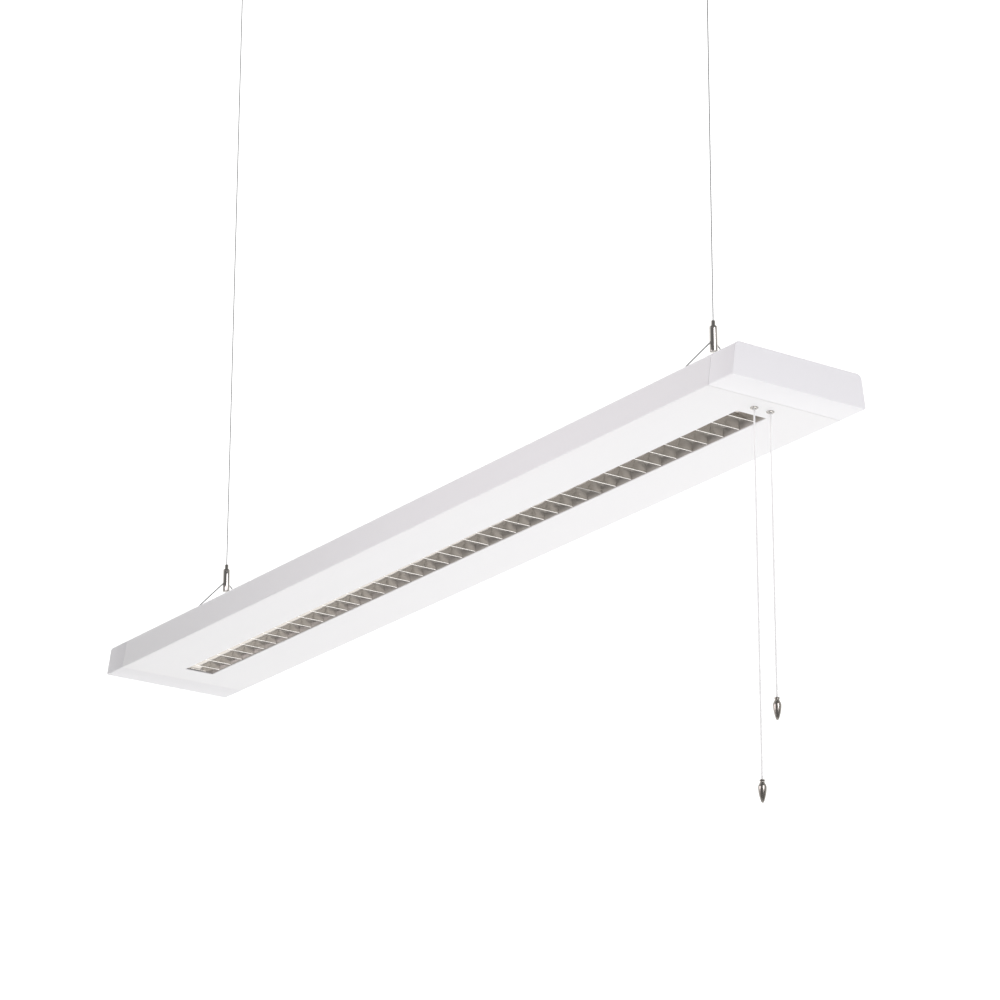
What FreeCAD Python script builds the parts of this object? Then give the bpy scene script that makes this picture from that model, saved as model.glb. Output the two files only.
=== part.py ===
import FreeCAD, Part
import math
import os

from FreeCAD import Vector

# Hanging workplace light: a slim white housing with a narrow parabolic louvre, hung on two steel wires.
# Millimetres. X runs along the housing (left is -X), front is -Y, Z is up.
# The row's origin is on the ceiling, midway between the two ceiling fixings.
# Lamp pieces are built with z = 0 on the housing's bottom face and lowered by DROP when saved.

# ---- overall ----
DROP = 955.0  # ceiling to the housing's bottom face
LENGTH = 1283.0  # over both end caps
WIDTH = 178.0  # at the bottom face
HEIGHT = 38.5  # bottom face to top flange
WIRE_INSET = 141.5  # each suspension wire, in from the lamp's end
SUSPENSION_SPACING = LENGTH - 2 * WIRE_INSET

# ---- housing ----
SHEET = 1.0  # folded steel
SIDE_LEAN = 5.2  # each side leans in by this much at the top
TOP_RADIUS = 7.0
EDGE_RADIUS = 1.6  # along the bottom edges
TOP_FLANGE = 39.0  # how far each top flange reaches in from the bottom face's edge
TOP_SLOT_HALF = WIDTH / 2 - TOP_FLANGE
SEAM_GAP = 0.3  # between the housing and an end cap

# ---- end caps ----
CAP_LENGTH = 40.0
BODY_END = LENGTH / 2 - CAP_LENGTH  # where the housing meets a cap
CAP_WALL = 2.4
CAP_END_WALL = 2.8
CAP_END_CHAMFER = 0.8
SPIGOT_LENGTH = 10.0  # plugs into the housing
SPIGOT_WALL = 1.8
SPIGOT_CLEARANCE = 0.15
BARB_Y = WIDTH / 2 - 20  # snap barbs on the spigot's top, in windows in the housing
BARB_WIDTH = 10.0
BARB_LENGTH = 4.0
BARB_RISE = 0.7
WINDOW_CLEARANCE = 0.25

# ---- louvre ----
LOUVRE_MARGIN = 80.0  # the lamp's end to the opening in the housing's floor
LOUVRE_LENGTH = LENGTH - 2 * LOUVRE_MARGIN
LOUVRE_WIDTH = 39.8
LOUVRE_HEIGHT = 20.5  # reflector top above the floor sheet
LOUVRE_SHEET = 0.5
REFLECTOR_SETBACK = 0.2  # reflector foot, outboard of the opening's edge
REFLECTOR_TOP_HALF = 12.0
REFLECTOR_KNEE_HALF = 18.0  # where the reflector is folded, from the middle
REFLECTOR_KNEE_HEIGHT = 10.0  # above the floor sheet
REFLECTOR_FLANGE = 3.0
BLADE_COUNT = 41
END_BLADE_INSET = 18.1  # first and last blade, in from the opening's ends
BLADE_PITCH = (LOUVRE_LENGTH - 2 * END_BLADE_INSET) / (BLADE_COUNT - 1)
BLADE_RECESS = 1.3  # blade's lower edge above the bottom face
BLADE_HEIGHT = 14.0
BLADE_EDGE = 1.2  # thickness of the lower edge
BLADE_TOP = 9.0  # width of the open top
BLADE_BOW = 0.7  # how far each flank bows in from its chord
BLADE_HOLLOW = 0.5  # share of the height over which the fold stands open
BLADE_CLEARANCE = 0.15  # blade to reflector
TAB_THICKNESS = 1.0
TAB_HEIGHT = 3.4
TAB_BASE = 3.4  # above the bottom face
TAB_REACH = 1.0  # past the reflector's back
SLIT_CLEARANCE = 0.2
END_PLATE_LEAN = 4.0
CLIP_LENGTH = 12.0
CLIP_SHEET = 0.6
CLIP_RISE = 6.0
CLIP_KNEE = 1.5  # height of the leaf's bend
CLIP_BOW = 0.9
CLIP_GAP = 0.02
CLIP_COUNT = 4  # along each side
CLIP_PITCH = LOUVRE_LENGTH / CLIP_COUNT

# ---- light channel, boards, lenses ----
CHANNEL_LENGTH = LOUVRE_LENGTH + 3
CHANNEL_WALL = 1.5
CHANNEL_LEG = 24.0  # inner face of a leg, from the middle
CHANNEL_FOOT = 9.0
CHANNEL_TOP = 27.5  # upper face above the bottom face
CHANNEL_TOP_HALF = 33.5
BOARD_COUNT = 4
BOARD_END_GAP = 3.0  # outer boards to the channel's ends
BOARD_PITCH = (CHANNEL_LENGTH - 2 * BOARD_END_GAP) / BOARD_COUNT
BOARD_LENGTH = BOARD_PITCH - 1
BOARD_THICKNESS = 1.6
DOWN_BOARD_WIDTH = 20.0
UP_BOARD_WIDTH = 24.0
CHIP_ROW_WIDTH = 3.0  # the continuous row of chips along a board
CHIP_HEIGHT = 0.7
DIFFUSER_THICKNESS = 1.5
DIFFUSER_CLEARANCE = 0.3
LENS_LENGTH = CHANNEL_LENGTH - 1
LENS_WALL = 1.5
LENS_HALF = 33.0

# ---- top cover ----
COVER_HALF = TOP_SLOT_HALF + 7
COVER_END_GAP = 1.5  # short of each end cap
COVER_LIP = 4.0  # over the uplight lens at its sides
COVER_SLOT_HALF = LENS_HALF - COVER_LIP
COVER_SLOT_LENGTH = LENS_LENGTH - 6
TONGUE_Y = TOP_SLOT_HALF + 3.5  # the cover's tongues, in slots in the housing's flanges
TONGUE_END = BODY_END - 26.5
TONGUE_X = (-TONGUE_END, -TONGUE_END / 3, TONGUE_END / 3, TONGUE_END)
TONGUE_LENGTH = 14.0
TONGUE_DEPTH = 4.0
TONGUE_CLEARANCE = 0.25

# ---- drivers and wiring ----
DRIVER_LENGTH = 280.0
DRIVER_WIDTH = 30.0
DRIVER_HEIGHT = 21.0
DRIVER_CHAMFER = 2.0
DRIVER_TAB = 8.0
DRIVER_TAB_SHEET = 1.2
DRIVER_SLOT = 4.0
DRIVER_Y = WIDTH / 2 - 31
DRIVER_X = 230.0
TERMINAL_X = 101.5 - BODY_END
TERMINAL_Y = DRIVER_Y
TERMINAL_LENGTH = 44.0
TERMINAL_WIDTH = 20.0
TERMINAL_HEIGHT = 16.0
TERMINAL_POLES = 5
POLE_SIZE = 4.6
EARTH_X = TERMINAL_X + 40
EARTH_RADIUS = 2.0
EARTH_LENGTH = 10.0
NUT_FLATS = 7.0
NUT_HEIGHT = 3.2
LOOM_RADIUS = 2.5
LOOM_Y = CHANNEL_LEG + CHANNEL_FOOT + 6
LOOM_Z = 6.0

# ---- mains inlet ----
INLET_X = 24 - BODY_END
CABLE_BORE_RADIUS = 4.0
GLAND_THREAD_RADIUS = 7.5
GLAND_FLATS = 17.0
GLAND_BASE_HEIGHT = 4.0
GLAND_DOME_HEIGHT = 9.0
GLAND_HOLE_CLEARANCE = 0.15
GLAND_NUT_HEIGHT = 3.5

# ---- pull switches ----
PULL_X = BODY_END - 22.2
PULL_Y = 10.85  # each cord, from the middle
SWITCH_LENGTH = 22.0
SWITCH_WIDTH = 20.0
SWITCH_HEIGHT = 25.0
SWITCH_WALL = 2.0
NECK_RADIUS = 3.6
NECK_CLEARANCE = 0.1
BUSH_RADIUS = 4.4
BUSH_DEPTH = 1.5  # below the bottom face
BUSH_BORE_RADIUS = 1.6
BAR_RADIUS = 2.2
BAR_HEAD_HALF = 4.6  # the head is square
BAR_HEAD_HEIGHT = 2.5
BAR_LENGTH = 11.0
BAR_CLEARANCE = 0.4
PULL_SPRING_RADIUS = 3.5
PULL_SPRING_WIRE = 0.7
PULL_SPRING_TURNS = 3
SPRING_STEPS = 10  # straight lengths in one turn of a coil
CORD_RADIUS = 1.0
FRONT_CORD_DROP = 401.0  # bottom face to the knob
BACK_CORD_DROP = 311.0
KNOB_LENGTH = 24.0
KNOB_RADIUS = 4.5
KNOB_COLLAR_RADIUS = 2.9
KNOB_NECK_RADIUS = 2.4
KNOB_TAPER_RADIUS = 3.3
KNOB_TIP_RADIUS = 1.2
KNOB_SIDES = 20  # its tapers are drawn many-sided
KNOB_SOCKET = 3.0
KNOB_BORE_CLEARANCE = 0.1

# ---- wire grippers, measured up from the housing's bottom face ----
GRIPPER_BOTTOM = 90.8
GRIPPER_LENGTH = 29.2
GRIPPER_RADIUS = 4.5
PLUNGER_RADIUS = 2.5
PLUNGER_TOP = 126.5
PLUNGER_STROKE = 2.0
PLUNGER_CLEARANCE = 0.05
GUIDE_DEPTH = 4.5  # of the plunger's guide bore
CARRIER_RADIUS = 1.75
CARRIER_LENGTH = 10.5  # from the body's top down
CONE_TOP_RADIUS = 1.9
CONE_BOTTOM_RADIUS = 2.8
CONE_LENGTH = 6.5
CHAMBER_BOTTOM = 105.3
JAW_COUNT = 3
JAW_BOTTOM = 111.2
JAW_HEIGHT = 3.2
JAW_WIDTH = 1.0
JAW_CLEARANCE = 0.04
GRIPPER_SPRING_WIRE = 0.4
GRIPPER_SPRING_TURNS = 2

# ---- wires and slings ----
WIRE_RADIUS = 0.6
WIRE_CLEARANCE = 0.15
WIRE_END = 106.0
SLING_RADIUS = 0.75
SLING_ANGLE = 47.0  # legs below the horizontal
SLING_APEX = 105.8  # where the legs' lines would meet
SLING_BEND = 5.0
SLING_SIDES = 8  # the thin wire is drawn eight-sided
SLING_HOLE_CLEARANCE = 0.3
FOOT_RADIUS = 2.5  # of the stop sleeve on each leg
FOOT_LENGTH = 5.0
FOOT_GAP = 0.1  # sleeve to the flange that holds it
FOOT_SLOT_HALF_WIDTH = 1.8
FOOT_SLOT_REACH = 2.2  # along Y each way
FOOT_ENTRY_HALF = 2.9

# ---- ceiling fixings, measured down from the ceiling ----
CEILING_HOLE_RADIUS = 2.25
BASE_FLANGE_RADIUS = 10.0
BASE_FLANGE = 2.5
BASE_SPIGOT_RADIUS = 6.0
BASE_SPIGOT = 8.5
CAP_RADIUS = 9.0
CAP_BOTTOM = 24.0
THREAD_CLEARANCE = 0.05
BALL_END_RADIUS = 2.5
BALL_END_DEPTH = 17.5  # ball's centre
BALL_END_WAIST = 0.8  # half the height of its round waist
BALL_SEAT_GAP = 0.05
THROAT_RADIUS = 1.9
WIRE_BORE_CLEARANCE = 0.05

# ---- worked out from the sizes above ----
HALF_LENGTH = LENGTH / 2
HALF_WIDTH = WIDTH / 2
SLANT = math.hypot(HEIGHT, SIDE_LEAN) / HEIGHT
FLANGE_Z = HEIGHT - SHEET
BARB_X = BODY_END - SPIGOT_LENGTH / 2
SPIGOT_TOP = FLANGE_Z - SPIGOT_CLEARANCE
WIRE_X = SUSPENSION_SPACING / 2
GRIPPER_TOP = GRIPPER_BOTTOM + GRIPPER_LENGTH
GUIDE_Z = GRIPPER_TOP - GUIDE_DEPTH
CONE_SEAT_Z = GUIDE_Z - CONE_LENGTH
CARRIER_Z = GRIPPER_TOP - CARRIER_LENGTH
SLING_TILT = math.radians(SLING_ANGLE)
FOOT_RISE = FOOT_LENGTH / 2 * math.sin(SLING_TILT)
FOOT_Z = FLANGE_Z - FOOT_GAP - FOOT_RISE - FOOT_RADIUS * math.cos(SLING_TILT)
FOOT_Y = (SLING_APEX - FOOT_Z) / math.tan(SLING_TILT)
REFLECTOR_FOOT_Y = LOUVRE_WIDTH / 2 + REFLECTOR_SETBACK
REFLECTOR_FOOT_Z = SHEET + LOUVRE_SHEET
REFLECTOR_KNEE_Z = SHEET + REFLECTOR_KNEE_HEIGHT
REFLECTOR_TOP_Z = SHEET + LOUVRE_HEIGHT
CHANNEL_UNDER = CHANNEL_TOP - CHANNEL_WALL
SWITCH_FLOOR = SHEET + SWITCH_WALL
SWITCH_ROOF = SHEET + SWITCH_HEIGHT - SWITCH_WALL
BAR_SEAT = SWITCH_ROOF - BAR_CLEARANCE - BAR_HEAD_HEIGHT
BAR_END = BAR_SEAT + BAR_HEAD_HEIGHT - BAR_LENGTH
CAP_FLOOR_Z = -BALL_END_DEPTH - math.sqrt((BALL_END_RADIUS + BALL_SEAT_GAP) ** 2 - THROAT_RADIUS ** 2)
SIDES = {"left": -1, "right": 1}
CORDS = {"front": (-1, FRONT_CORD_DROP), "back": (1, BACK_CORD_DROP)}
LAMP = Vector(0, 0, -DROP)
CEILING = Vector(0, 0, 0)
UP = Vector(0, 0, 1)

os.makedirs("parts", exist_ok=True)


def save(node, shapes, place=LAMP):
    """Writes one node's solids to its STEP file."""
    solids = [s for shape in shapes for s in shape.Solids]
    whole = solids[0] if len(solids) == 1 else Part.makeCompound(solids)
    whole = whole.copy()
    whole.translate(place)
    whole.exportStep("parts/" + node + ".step")


def box(x0, x1, y0, y1, z0, z1):
    return Part.makeBox(x1 - x0, y1 - y0, z1 - z0, Vector(x0, y0, z0))


def block(x, y, half_x, half_y, z0, z1):
    """A box about the vertical line at x, y."""
    return box(x - half_x, x + half_x, y - half_y, y + half_y, z0, z1)


def rod(x, y, z0, z1, radius):
    return Part.makeCylinder(radius, z1 - z0, Vector(x, y, z0), UP)


def ring(x, y, z0, z1, outer, inner):
    return rod(x, y, z0, z1, outer).cut(rod(x, y, z0 - 1, z1 + 1, inner))


def flat_face(corners):
    return Part.Face(Part.makePolygon(corners + corners[:1]))


def prism(corners, along):
    """A closed polygon pushed along a vector."""
    return flat_face(corners).extrude(along)


def hexagon(x, y, z0, z1, flats):
    corner = flats / math.sqrt(3)
    turns = [math.radians(60 * i) for i in range(6)]
    corners = [Vector(x + corner * math.cos(a), y + corner * math.sin(a), z0) for a in turns]
    return prism(corners, UP * (z1 - z0))


def turned(x, y, outline):
    """A solid of revolution about the vertical line at x, y, from (radius, z) corners."""
    solid = flat_face([Vector(r, 0, z) for r, z in outline]).revolve(Vector(0, 0, 0), UP, 360)
    solid.translate(Vector(x, y, 0))
    return solid


def many_sided(x, y, outline, sides):
    """A tapering bar with a regular section of the given sides, from (radius, z) levels."""
    turns = [2 * math.pi * i / sides for i in range(sides)]
    levels = [[Vector(x + r * math.cos(a), y + r * math.sin(a), z) for a in turns] for r, z in outline]
    faces = [flat_face(levels[0]), flat_face(levels[-1])]
    for over, under in zip(levels, levels[1:]):
        for i in range(sides):
            faces.append(flat_face([over[i - 1], over[i], under[i], under[i - 1]]))
    return Part.makeSolid(Part.makeShell(faces))


def arc(a, middle, b):
    return Part.Arc(a, middle, b).toShape()


def line(a, b):
    return Part.makeLine(a, b)


def swept(path, apothem, sides, corners=0):
    """A bar with a regular section of the given sides, along a wire that starts square to X."""
    start = path.OrderedEdges[0]
    point = start.valueAt(start.FirstParameter)
    forward = start.tangentAt(start.FirstParameter).normalize()
    across = Vector(1, 0, 0) if abs(forward.x) < 0.9 else Vector(0, 1, 0)
    across = (across - forward * across.dot(forward)).normalize()
    upward = forward.cross(across)
    reach = apothem / math.cos(math.pi / sides)
    turns = [(2 * i + 1) * math.pi / sides for i in range(sides)]
    section = [point + across * reach * math.cos(a) + upward * reach * math.sin(a) for a in turns]
    return path.makePipeShell([Part.makePolygon(section + section[:1])], True, False, corners)


def half_width(z, inset):
    """Half the profile's width at height z, with each side moved in by inset."""
    return HALF_WIDTH - SIDE_LEAN * z / HEIGHT - inset * SLANT


def is_long(edge, z, length):
    """Whether an edge runs along X at height z."""
    box_of = edge.BoundBox
    return box_of.XLength > length - 0.01 and abs(box_of.ZMin - z) < 0.01 and box_of.YLength < 0.01


def profile(x0, x1, inset):
    """The housing's outer profile, moved in by inset, as a solid from x0 to x1."""
    low, high = inset, HEIGHT - inset
    bottom, top = half_width(low, inset), half_width(high, inset)
    corners = [Vector(x0, y, z) for y, z in ((-bottom, low), (bottom, low), (top, high), (-top, high))]
    solid = prism(corners, Vector(x1 - x0, 0, 0))
    for radius, z in ((EDGE_RADIUS - inset, low), (TOP_RADIUS - inset, high)):
        if radius > 0:
            solid = solid.makeFillet(radius, [e for e in solid.Edges if is_long(e, z, x1 - x0)])
    return solid


# ---- housing, caps and cover ----


def foot_slots():
    """Keyholes in the top flanges: the wide end admits a sling's stop sleeve, the narrow end holds it."""
    cutters = []
    middle = (SLING_APEX - FLANGE_Z - SHEET / 2) / math.tan(SLING_TILT)
    for side in SIDES.values():
        for way in (-1, 1):
            x = side * WIRE_X
            entry = way * (middle + FOOT_SLOT_REACH + FOOT_ENTRY_HALF)
            low, high = FLANGE_Z - 1, HEIGHT + 1
            cutters.append(block(x, way * middle, FOOT_SLOT_HALF_WIDTH, FOOT_SLOT_REACH, low, high))
            cutters.append(block(x, entry, FOOT_ENTRY_HALF, FOOT_ENTRY_HALF, low, high))
    return cutters


def tongues(clearance, low, high):
    """The cover's tongues, or with a clearance the slots that take them."""
    half, thick = TONGUE_LENGTH / 2 + clearance, SHEET / 2 + clearance
    return [block(x, way * TONGUE_Y, half, thick, low, high) for x in TONGUE_X for way in (-1, 1)]


def make_housing():
    end = BODY_END - SEAM_GAP
    shell = profile(-end, end, 0).cut(profile(-end - 1, end + 1, SHEET))
    cutters = [block(0, 0, end + 1, TOP_SLOT_HALF, FLANGE_Z - SHEET, HEIGHT + 1)]
    cutters.append(block(0, 0, LOUVRE_LENGTH / 2, LOUVRE_WIDTH / 2, -1, 2 * SHEET))
    cutters += [rod(PULL_X, way * PULL_Y, -1, 2 * SHEET, NECK_RADIUS + NECK_CLEARANCE) for way in (-1, 1)]
    cutters += foot_slots() + tongues(TONGUE_CLEARANCE, FLANGE_Z - 1, HEIGHT + 1)
    half_x, half_y = BARB_LENGTH / 2 + WINDOW_CLEARANCE, BARB_WIDTH / 2 + WINDOW_CLEARANCE
    for side in SIDES.values():
        for way in (-1, 1):
            cutters.append(block(side * BARB_X, way * BARB_Y, half_x, half_y, FLANGE_Z - 1, HEIGHT + 1))
    save("housing", [shell.cut(cutters)])


def make_end_cap(name, side):
    start, end = BODY_END, HALF_LENGTH
    outer = profile(start, end, 0)
    rim = [e for e in outer.Edges if e.BoundBox.XMin > end - 0.01]
    outer = outer.makeChamfer(CAP_END_CHAMFER, rim)
    shell = outer.cut(profile(start - 1, end - CAP_END_WALL, CAP_WALL))
    gap = SHEET + SPIGOT_CLEARANCE
    near, far = start - SPIGOT_LENGTH, start + CAP_WALL
    spigot = profile(near, far, gap).cut(profile(near - 1, far + 1, gap + SPIGOT_WALL))
    barbs = []
    x0, x1 = BARB_X - BARB_LENGTH / 2, BARB_X + BARB_LENGTH / 2
    for way in (-1, 1):
        y = way * BARB_Y - BARB_WIDTH / 2
        corners = [Vector(x0, y, SPIGOT_TOP - 0.5), Vector(x1, y, SPIGOT_TOP - 0.5),
                   Vector(x1, y, SPIGOT_TOP + BARB_RISE), Vector(x0, y, SPIGOT_TOP)]
        barbs.append(prism(corners, Vector(0, BARB_WIDTH, 0)))
    cap = shell.fuse([spigot] + barbs).removeSplitter()
    if side < 0:
        cap = cap.mirror(Vector(0, 0, 0), Vector(1, 0, 0))
    save("end_cap_" + name, [cap])


def make_top_cover():
    end = BODY_END - COVER_END_GAP
    cover = block(0, 0, end, COVER_HALF, HEIGHT, HEIGHT + SHEET)
    cover = cover.cut([block(0, 0, COVER_SLOT_LENGTH / 2, COVER_SLOT_HALF, HEIGHT - 1, HEIGHT + 2 * SHEET),
                       rod(INLET_X, 0, HEIGHT - 1, HEIGHT + 2, GLAND_THREAD_RADIUS + GLAND_HOLE_CLEARANCE)])
    cover = cover.fuse(tongues(0, HEIGHT - TONGUE_DEPTH, HEIGHT + SHEET))
    save("top_cover", [cover.removeSplitter()])


# ---- louvre ----


def reflector_line(offset):
    """The folded reflector's inner face from foot to top, moved outwards by offset: (y, z) points."""
    return [(REFLECTOR_FOOT_Y + offset, SHEET), (REFLECTOR_KNEE_HALF + offset, REFLECTOR_KNEE_Z),
            (REFLECTOR_TOP_HALF + offset, REFLECTOR_TOP_Z)]


def louvre_room(x, length):
    """The space between the two reflectors, less the blades' clearance, centred on x."""
    right = reflector_line(-BLADE_CLEARANCE)
    outline = right + [(-y, z) for y, z in right[::-1]]
    return prism([Vector(x - length / 2, y, z) for y, z in outline], Vector(length, 0, 0))


def blade_places():
    first = -BLADE_PITCH * (BLADE_COUNT - 1) / 2
    return [first + i * BLADE_PITCH for i in range(BLADE_COUNT)]


def make_louvre_side(name, way):
    half = LOUVRE_LENGTH / 2
    foot = REFLECTOR_FOOT_Y + REFLECTOR_FLANGE
    outer = reflector_line(LOUVRE_SHEET)[:0:-1]
    flange = [(REFLECTOR_FOOT_Y + LOUVRE_SHEET, REFLECTOR_FOOT_Z), (foot, REFLECTOR_FOOT_Z), (foot, SHEET)]
    outline = reflector_line(0) + outer + flange
    strip = prism([Vector(-half, way * y, z) for y, z in outline], Vector(2 * half, 0, 0))
    wide = TAB_THICKNESS / 2 + SLIT_CLEARANCE
    middle, reach = (REFLECTOR_FOOT_Y + REFLECTOR_KNEE_HALF) / 2, 3.0
    top = TAB_BASE + TAB_HEIGHT + SLIT_CLEARANCE
    slits = [block(x, way * middle, wide, reach, TAB_BASE, top) for x in blade_places()]
    save("louvre_side_" + name, [strip.cut(slits)])


def blade_section():
    """Half a blade's section, from its narrow lower edge up the bent flank and down the open fold: (x, z)."""
    edge, wide, top = BLADE_EDGE / 2, BLADE_TOP / 2, BLADE_RECESS + BLADE_HEIGHT
    bend = (edge + wide) / 2 - BLADE_BOW
    return [(edge, BLADE_RECESS), (bend, top - BLADE_HEIGHT / 2), (wide, top), (wide - LOUVRE_SHEET, top)]


def make_blades():
    """Folded parabolic blades, open at the top, with a tab at each end that drops into a slit."""
    half = blade_section()
    fold = [(0, BLADE_RECESS + BLADE_HEIGHT * (1 - BLADE_HOLLOW))]
    outline = half + fold + [(-x, z) for x, z in half[::-1]]
    blade = prism([Vector(x, -LOUVRE_WIDTH, z) for x, z in outline], Vector(0, 2 * LOUVRE_WIDTH, 0))
    tab_half = REFLECTOR_FOOT_Y + LOUVRE_SHEET + TAB_REACH
    tab = block(0, 0, TAB_THICKNESS / 2, tab_half, TAB_BASE, TAB_BASE + TAB_HEIGHT)
    blade = blade.common(louvre_room(0, 2 * BLADE_TOP)).fuse(tab).removeSplitter()
    blades = [blade.translated(Vector(x, 0, 0)) for x in blade_places()]
    save("louvre_blades", blades)


def make_louvre_ends():
    """Sloping plates that close the louvre's ends, each with a foot on the floor sheet."""
    half = LOUVRE_LENGTH / 2
    plates = []
    for side in SIDES.values():
        top = half - END_PLATE_LEAN
        outline = [(half - LOUVRE_SHEET, SHEET), (half, SHEET), (top, REFLECTOR_TOP_Z),
                   (top - LOUVRE_SHEET, REFLECTOR_TOP_Z)]
        corners = [Vector(side * x, -LOUVRE_WIDTH, z) for x, z in outline]
        room = louvre_room(side * half, 4 * END_PLATE_LEAN)
        plate = prism(corners, Vector(0, 2 * LOUVRE_WIDTH, 0)).common(room)
        ends = sorted([side * (half - LOUVRE_SHEET), side * (half + REFLECTOR_FLANGE)])
        wide = REFLECTOR_FOOT_Y - BLADE_CLEARANCE
        foot = box(ends[0], ends[1], -wide, wide, SHEET, REFLECTOR_FOOT_Z)
        plates.append(plate.fuse(foot).removeSplitter())
    save("louvre_ends", plates)


def make_clips():
    """Leaf springs between the channel's legs and the reflectors' feet."""
    wall, foot = CHANNEL_LEG - CLIP_GAP, REFLECTOR_FOOT_Y + 2 * LOUVRE_SHEET
    outer = [(foot + CLIP_SHEET, REFLECTOR_FOOT_Z), (wall - CLIP_BOW, REFLECTOR_FOOT_Z + CLIP_KNEE),
             (wall, REFLECTOR_FOOT_Z + CLIP_RISE)]
    outline = outer + [(y - CLIP_SHEET, z) for y, z in outer[::-1]]
    clips = []
    for i in range(CLIP_COUNT):
        x = (i - (CLIP_COUNT - 1) / 2) * CLIP_PITCH - CLIP_LENGTH / 2
        for way in (-1, 1):
            clips.append(prism([Vector(x, way * y, z) for y, z in outline], Vector(CLIP_LENGTH, 0, 0)))
    save("louvre_clips", clips)


# ---- light channel, boards and lenses ----


def make_channel():
    """Extruded aluminium: a top plate on two legs with outward feet."""
    leg, foot = CHANNEL_LEG + CHANNEL_WALL, CHANNEL_LEG + CHANNEL_FOOT
    foot_top = SHEET + CHANNEL_WALL
    outline = [(CHANNEL_TOP_HALF, CHANNEL_TOP), (CHANNEL_TOP_HALF, CHANNEL_UNDER), (leg, CHANNEL_UNDER),
               (leg, foot_top), (foot, foot_top), (foot, SHEET),
               (CHANNEL_LEG, SHEET), (CHANNEL_LEG, CHANNEL_UNDER)]
    whole = outline + [(-y, z) for y, z in outline[::-1]]
    corners = [Vector(-CHANNEL_LENGTH / 2, y, z) for y, z in whole]
    save("light_channel", [prism(corners, Vector(CHANNEL_LENGTH, 0, 0))])


def make_boards(node, width, base, way):
    """A row of LED boards on the channel's plate at height base, looking up (way 1) or down (way -1)."""
    boards = []
    face = base + way * BOARD_THICKNESS
    for i in range(BOARD_COUNT):
        x = (i - (BOARD_COUNT - 1) / 2) * BOARD_PITCH
        board = block(x, 0, BOARD_LENGTH / 2, width / 2, min(base, face), max(base, face))
        crest = face + way * CHIP_HEIGHT
        chips = block(x, 0, BOARD_LENGTH / 2 - 4, CHIP_ROW_WIDTH / 2, min(face, crest), max(face, crest))
        boards.append(board.fuse(chips).removeSplitter())
    save(node, boards)


def make_lenses():
    wide = CHANNEL_LEG - DIFFUSER_CLEARANCE
    top = REFLECTOR_TOP_Z + DIFFUSER_THICKNESS
    save("downlight_diffuser", [block(0, 0, LOUVRE_LENGTH / 2, wide, REFLECTOR_TOP_Z, top)])
    lens = block(0, 0, LENS_LENGTH / 2, LENS_HALF, CHANNEL_TOP, HEIGHT)
    hollow = block(0, 0, LENS_LENGTH / 2 + 1, LENS_HALF - LENS_WALL, CHANNEL_TOP - 1, HEIGHT - LENS_WALL)
    save("uplight_lens", [lens.cut(hollow)])


# ---- drivers, terminals and wiring ----


def make_driver(node, x, y):
    """A long control-gear case with a chamfered lid, a wire port at each end and two slotted tabs."""
    half, top = DRIVER_LENGTH / 2, SHEET + DRIVER_HEIGHT
    case = block(x, y, half, DRIVER_WIDTH / 2, SHEET, top)
    case = case.makeChamfer(DRIVER_CHAMFER, [e for e in case.Edges if e.BoundBox.ZMin > top - 0.1])
    for out in (-1, 1):
        tab_x = x + out * (half + DRIVER_TAB / 2)
        tab = block(tab_x, y, DRIVER_TAB / 2, DRIVER_WIDTH / 2 - 4, SHEET, SHEET + DRIVER_TAB_SHEET)
        slot = block(tab_x + out * 2, y, DRIVER_TAB / 2, DRIVER_SLOT / 2, 0, SHEET + DRIVER_TAB)
        case = case.fuse(tab.cut(slot))
        case = case.cut(block(x + out * half, y, 3, 9, SHEET + 5, SHEET + 12))
    save(node, [case.removeSplitter()])


def make_terminal_block():
    """A push-in terminal block: a wire entry in front and a release lever's recess on top, for each pole."""
    half, deep, top = TERMINAL_LENGTH / 2, TERMINAL_WIDTH / 2, SHEET + TERMINAL_HEIGHT
    body = block(TERMINAL_X, TERMINAL_Y, half, deep, SHEET, top)
    step = TERMINAL_LENGTH / TERMINAL_POLES
    cutters = []
    for i in range(TERMINAL_POLES):
        x = TERMINAL_X - half + (i + 0.5) * step
        cutters.append(block(x, TERMINAL_Y, POLE_SIZE / 2, deep * 0.6, top - 4, top + 1))
        cutters.append(block(x, TERMINAL_Y - deep, POLE_SIZE / 2, 4, SHEET + 3, SHEET + 3 + POLE_SIZE))
    save("terminal_block", [body.cut(cutters)])


def make_earth_stud():
    """A stud welded to the floor sheet, with its nut."""
    x, y = EARTH_X, TERMINAL_Y
    stud = rod(x, y, SHEET, SHEET + EARTH_LENGTH, EARTH_RADIUS)
    nut = hexagon(x, y, SHEET, SHEET + NUT_HEIGHT, NUT_FLATS).cut(rod(x, y, 0, 20, EARTH_RADIUS))
    save("earth_stud", [stud, nut])


def make_loom():
    """Six-sided cable bundles on the floor, from the terminals to the switches and to the front driver."""
    lane, block_y = LOOM_Y, TERMINAL_Y - 4
    start, end = TERMINAL_X + TERMINAL_LENGTH / 2, TERMINAL_X - TERMINAL_LENGTH / 2
    switch_x, back_wall = PULL_X - SWITCH_LENGTH / 4, PULL_Y + SWITCH_WIDTH / 2
    driver_end = -DRIVER_X - DRIVER_LENGTH / 2 - DRIVER_TAB
    back = [(start, block_y), (start + 3, block_y), (start + 43, lane),
            (switch_x, lane), (switch_x, back_wall)]
    front = [(end, block_y), (INLET_X, block_y), (INLET_X, -DRIVER_Y), (driver_end, -DRIVER_Y)]
    runs = [Part.makePolygon([Vector(x, y, LOOM_Z) for x, y in route]) for route in (back, front)]
    save("wiring_loom", [swept(run, LOOM_RADIUS, 6, 1) for run in runs])


# ---- mains inlet ----


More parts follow.
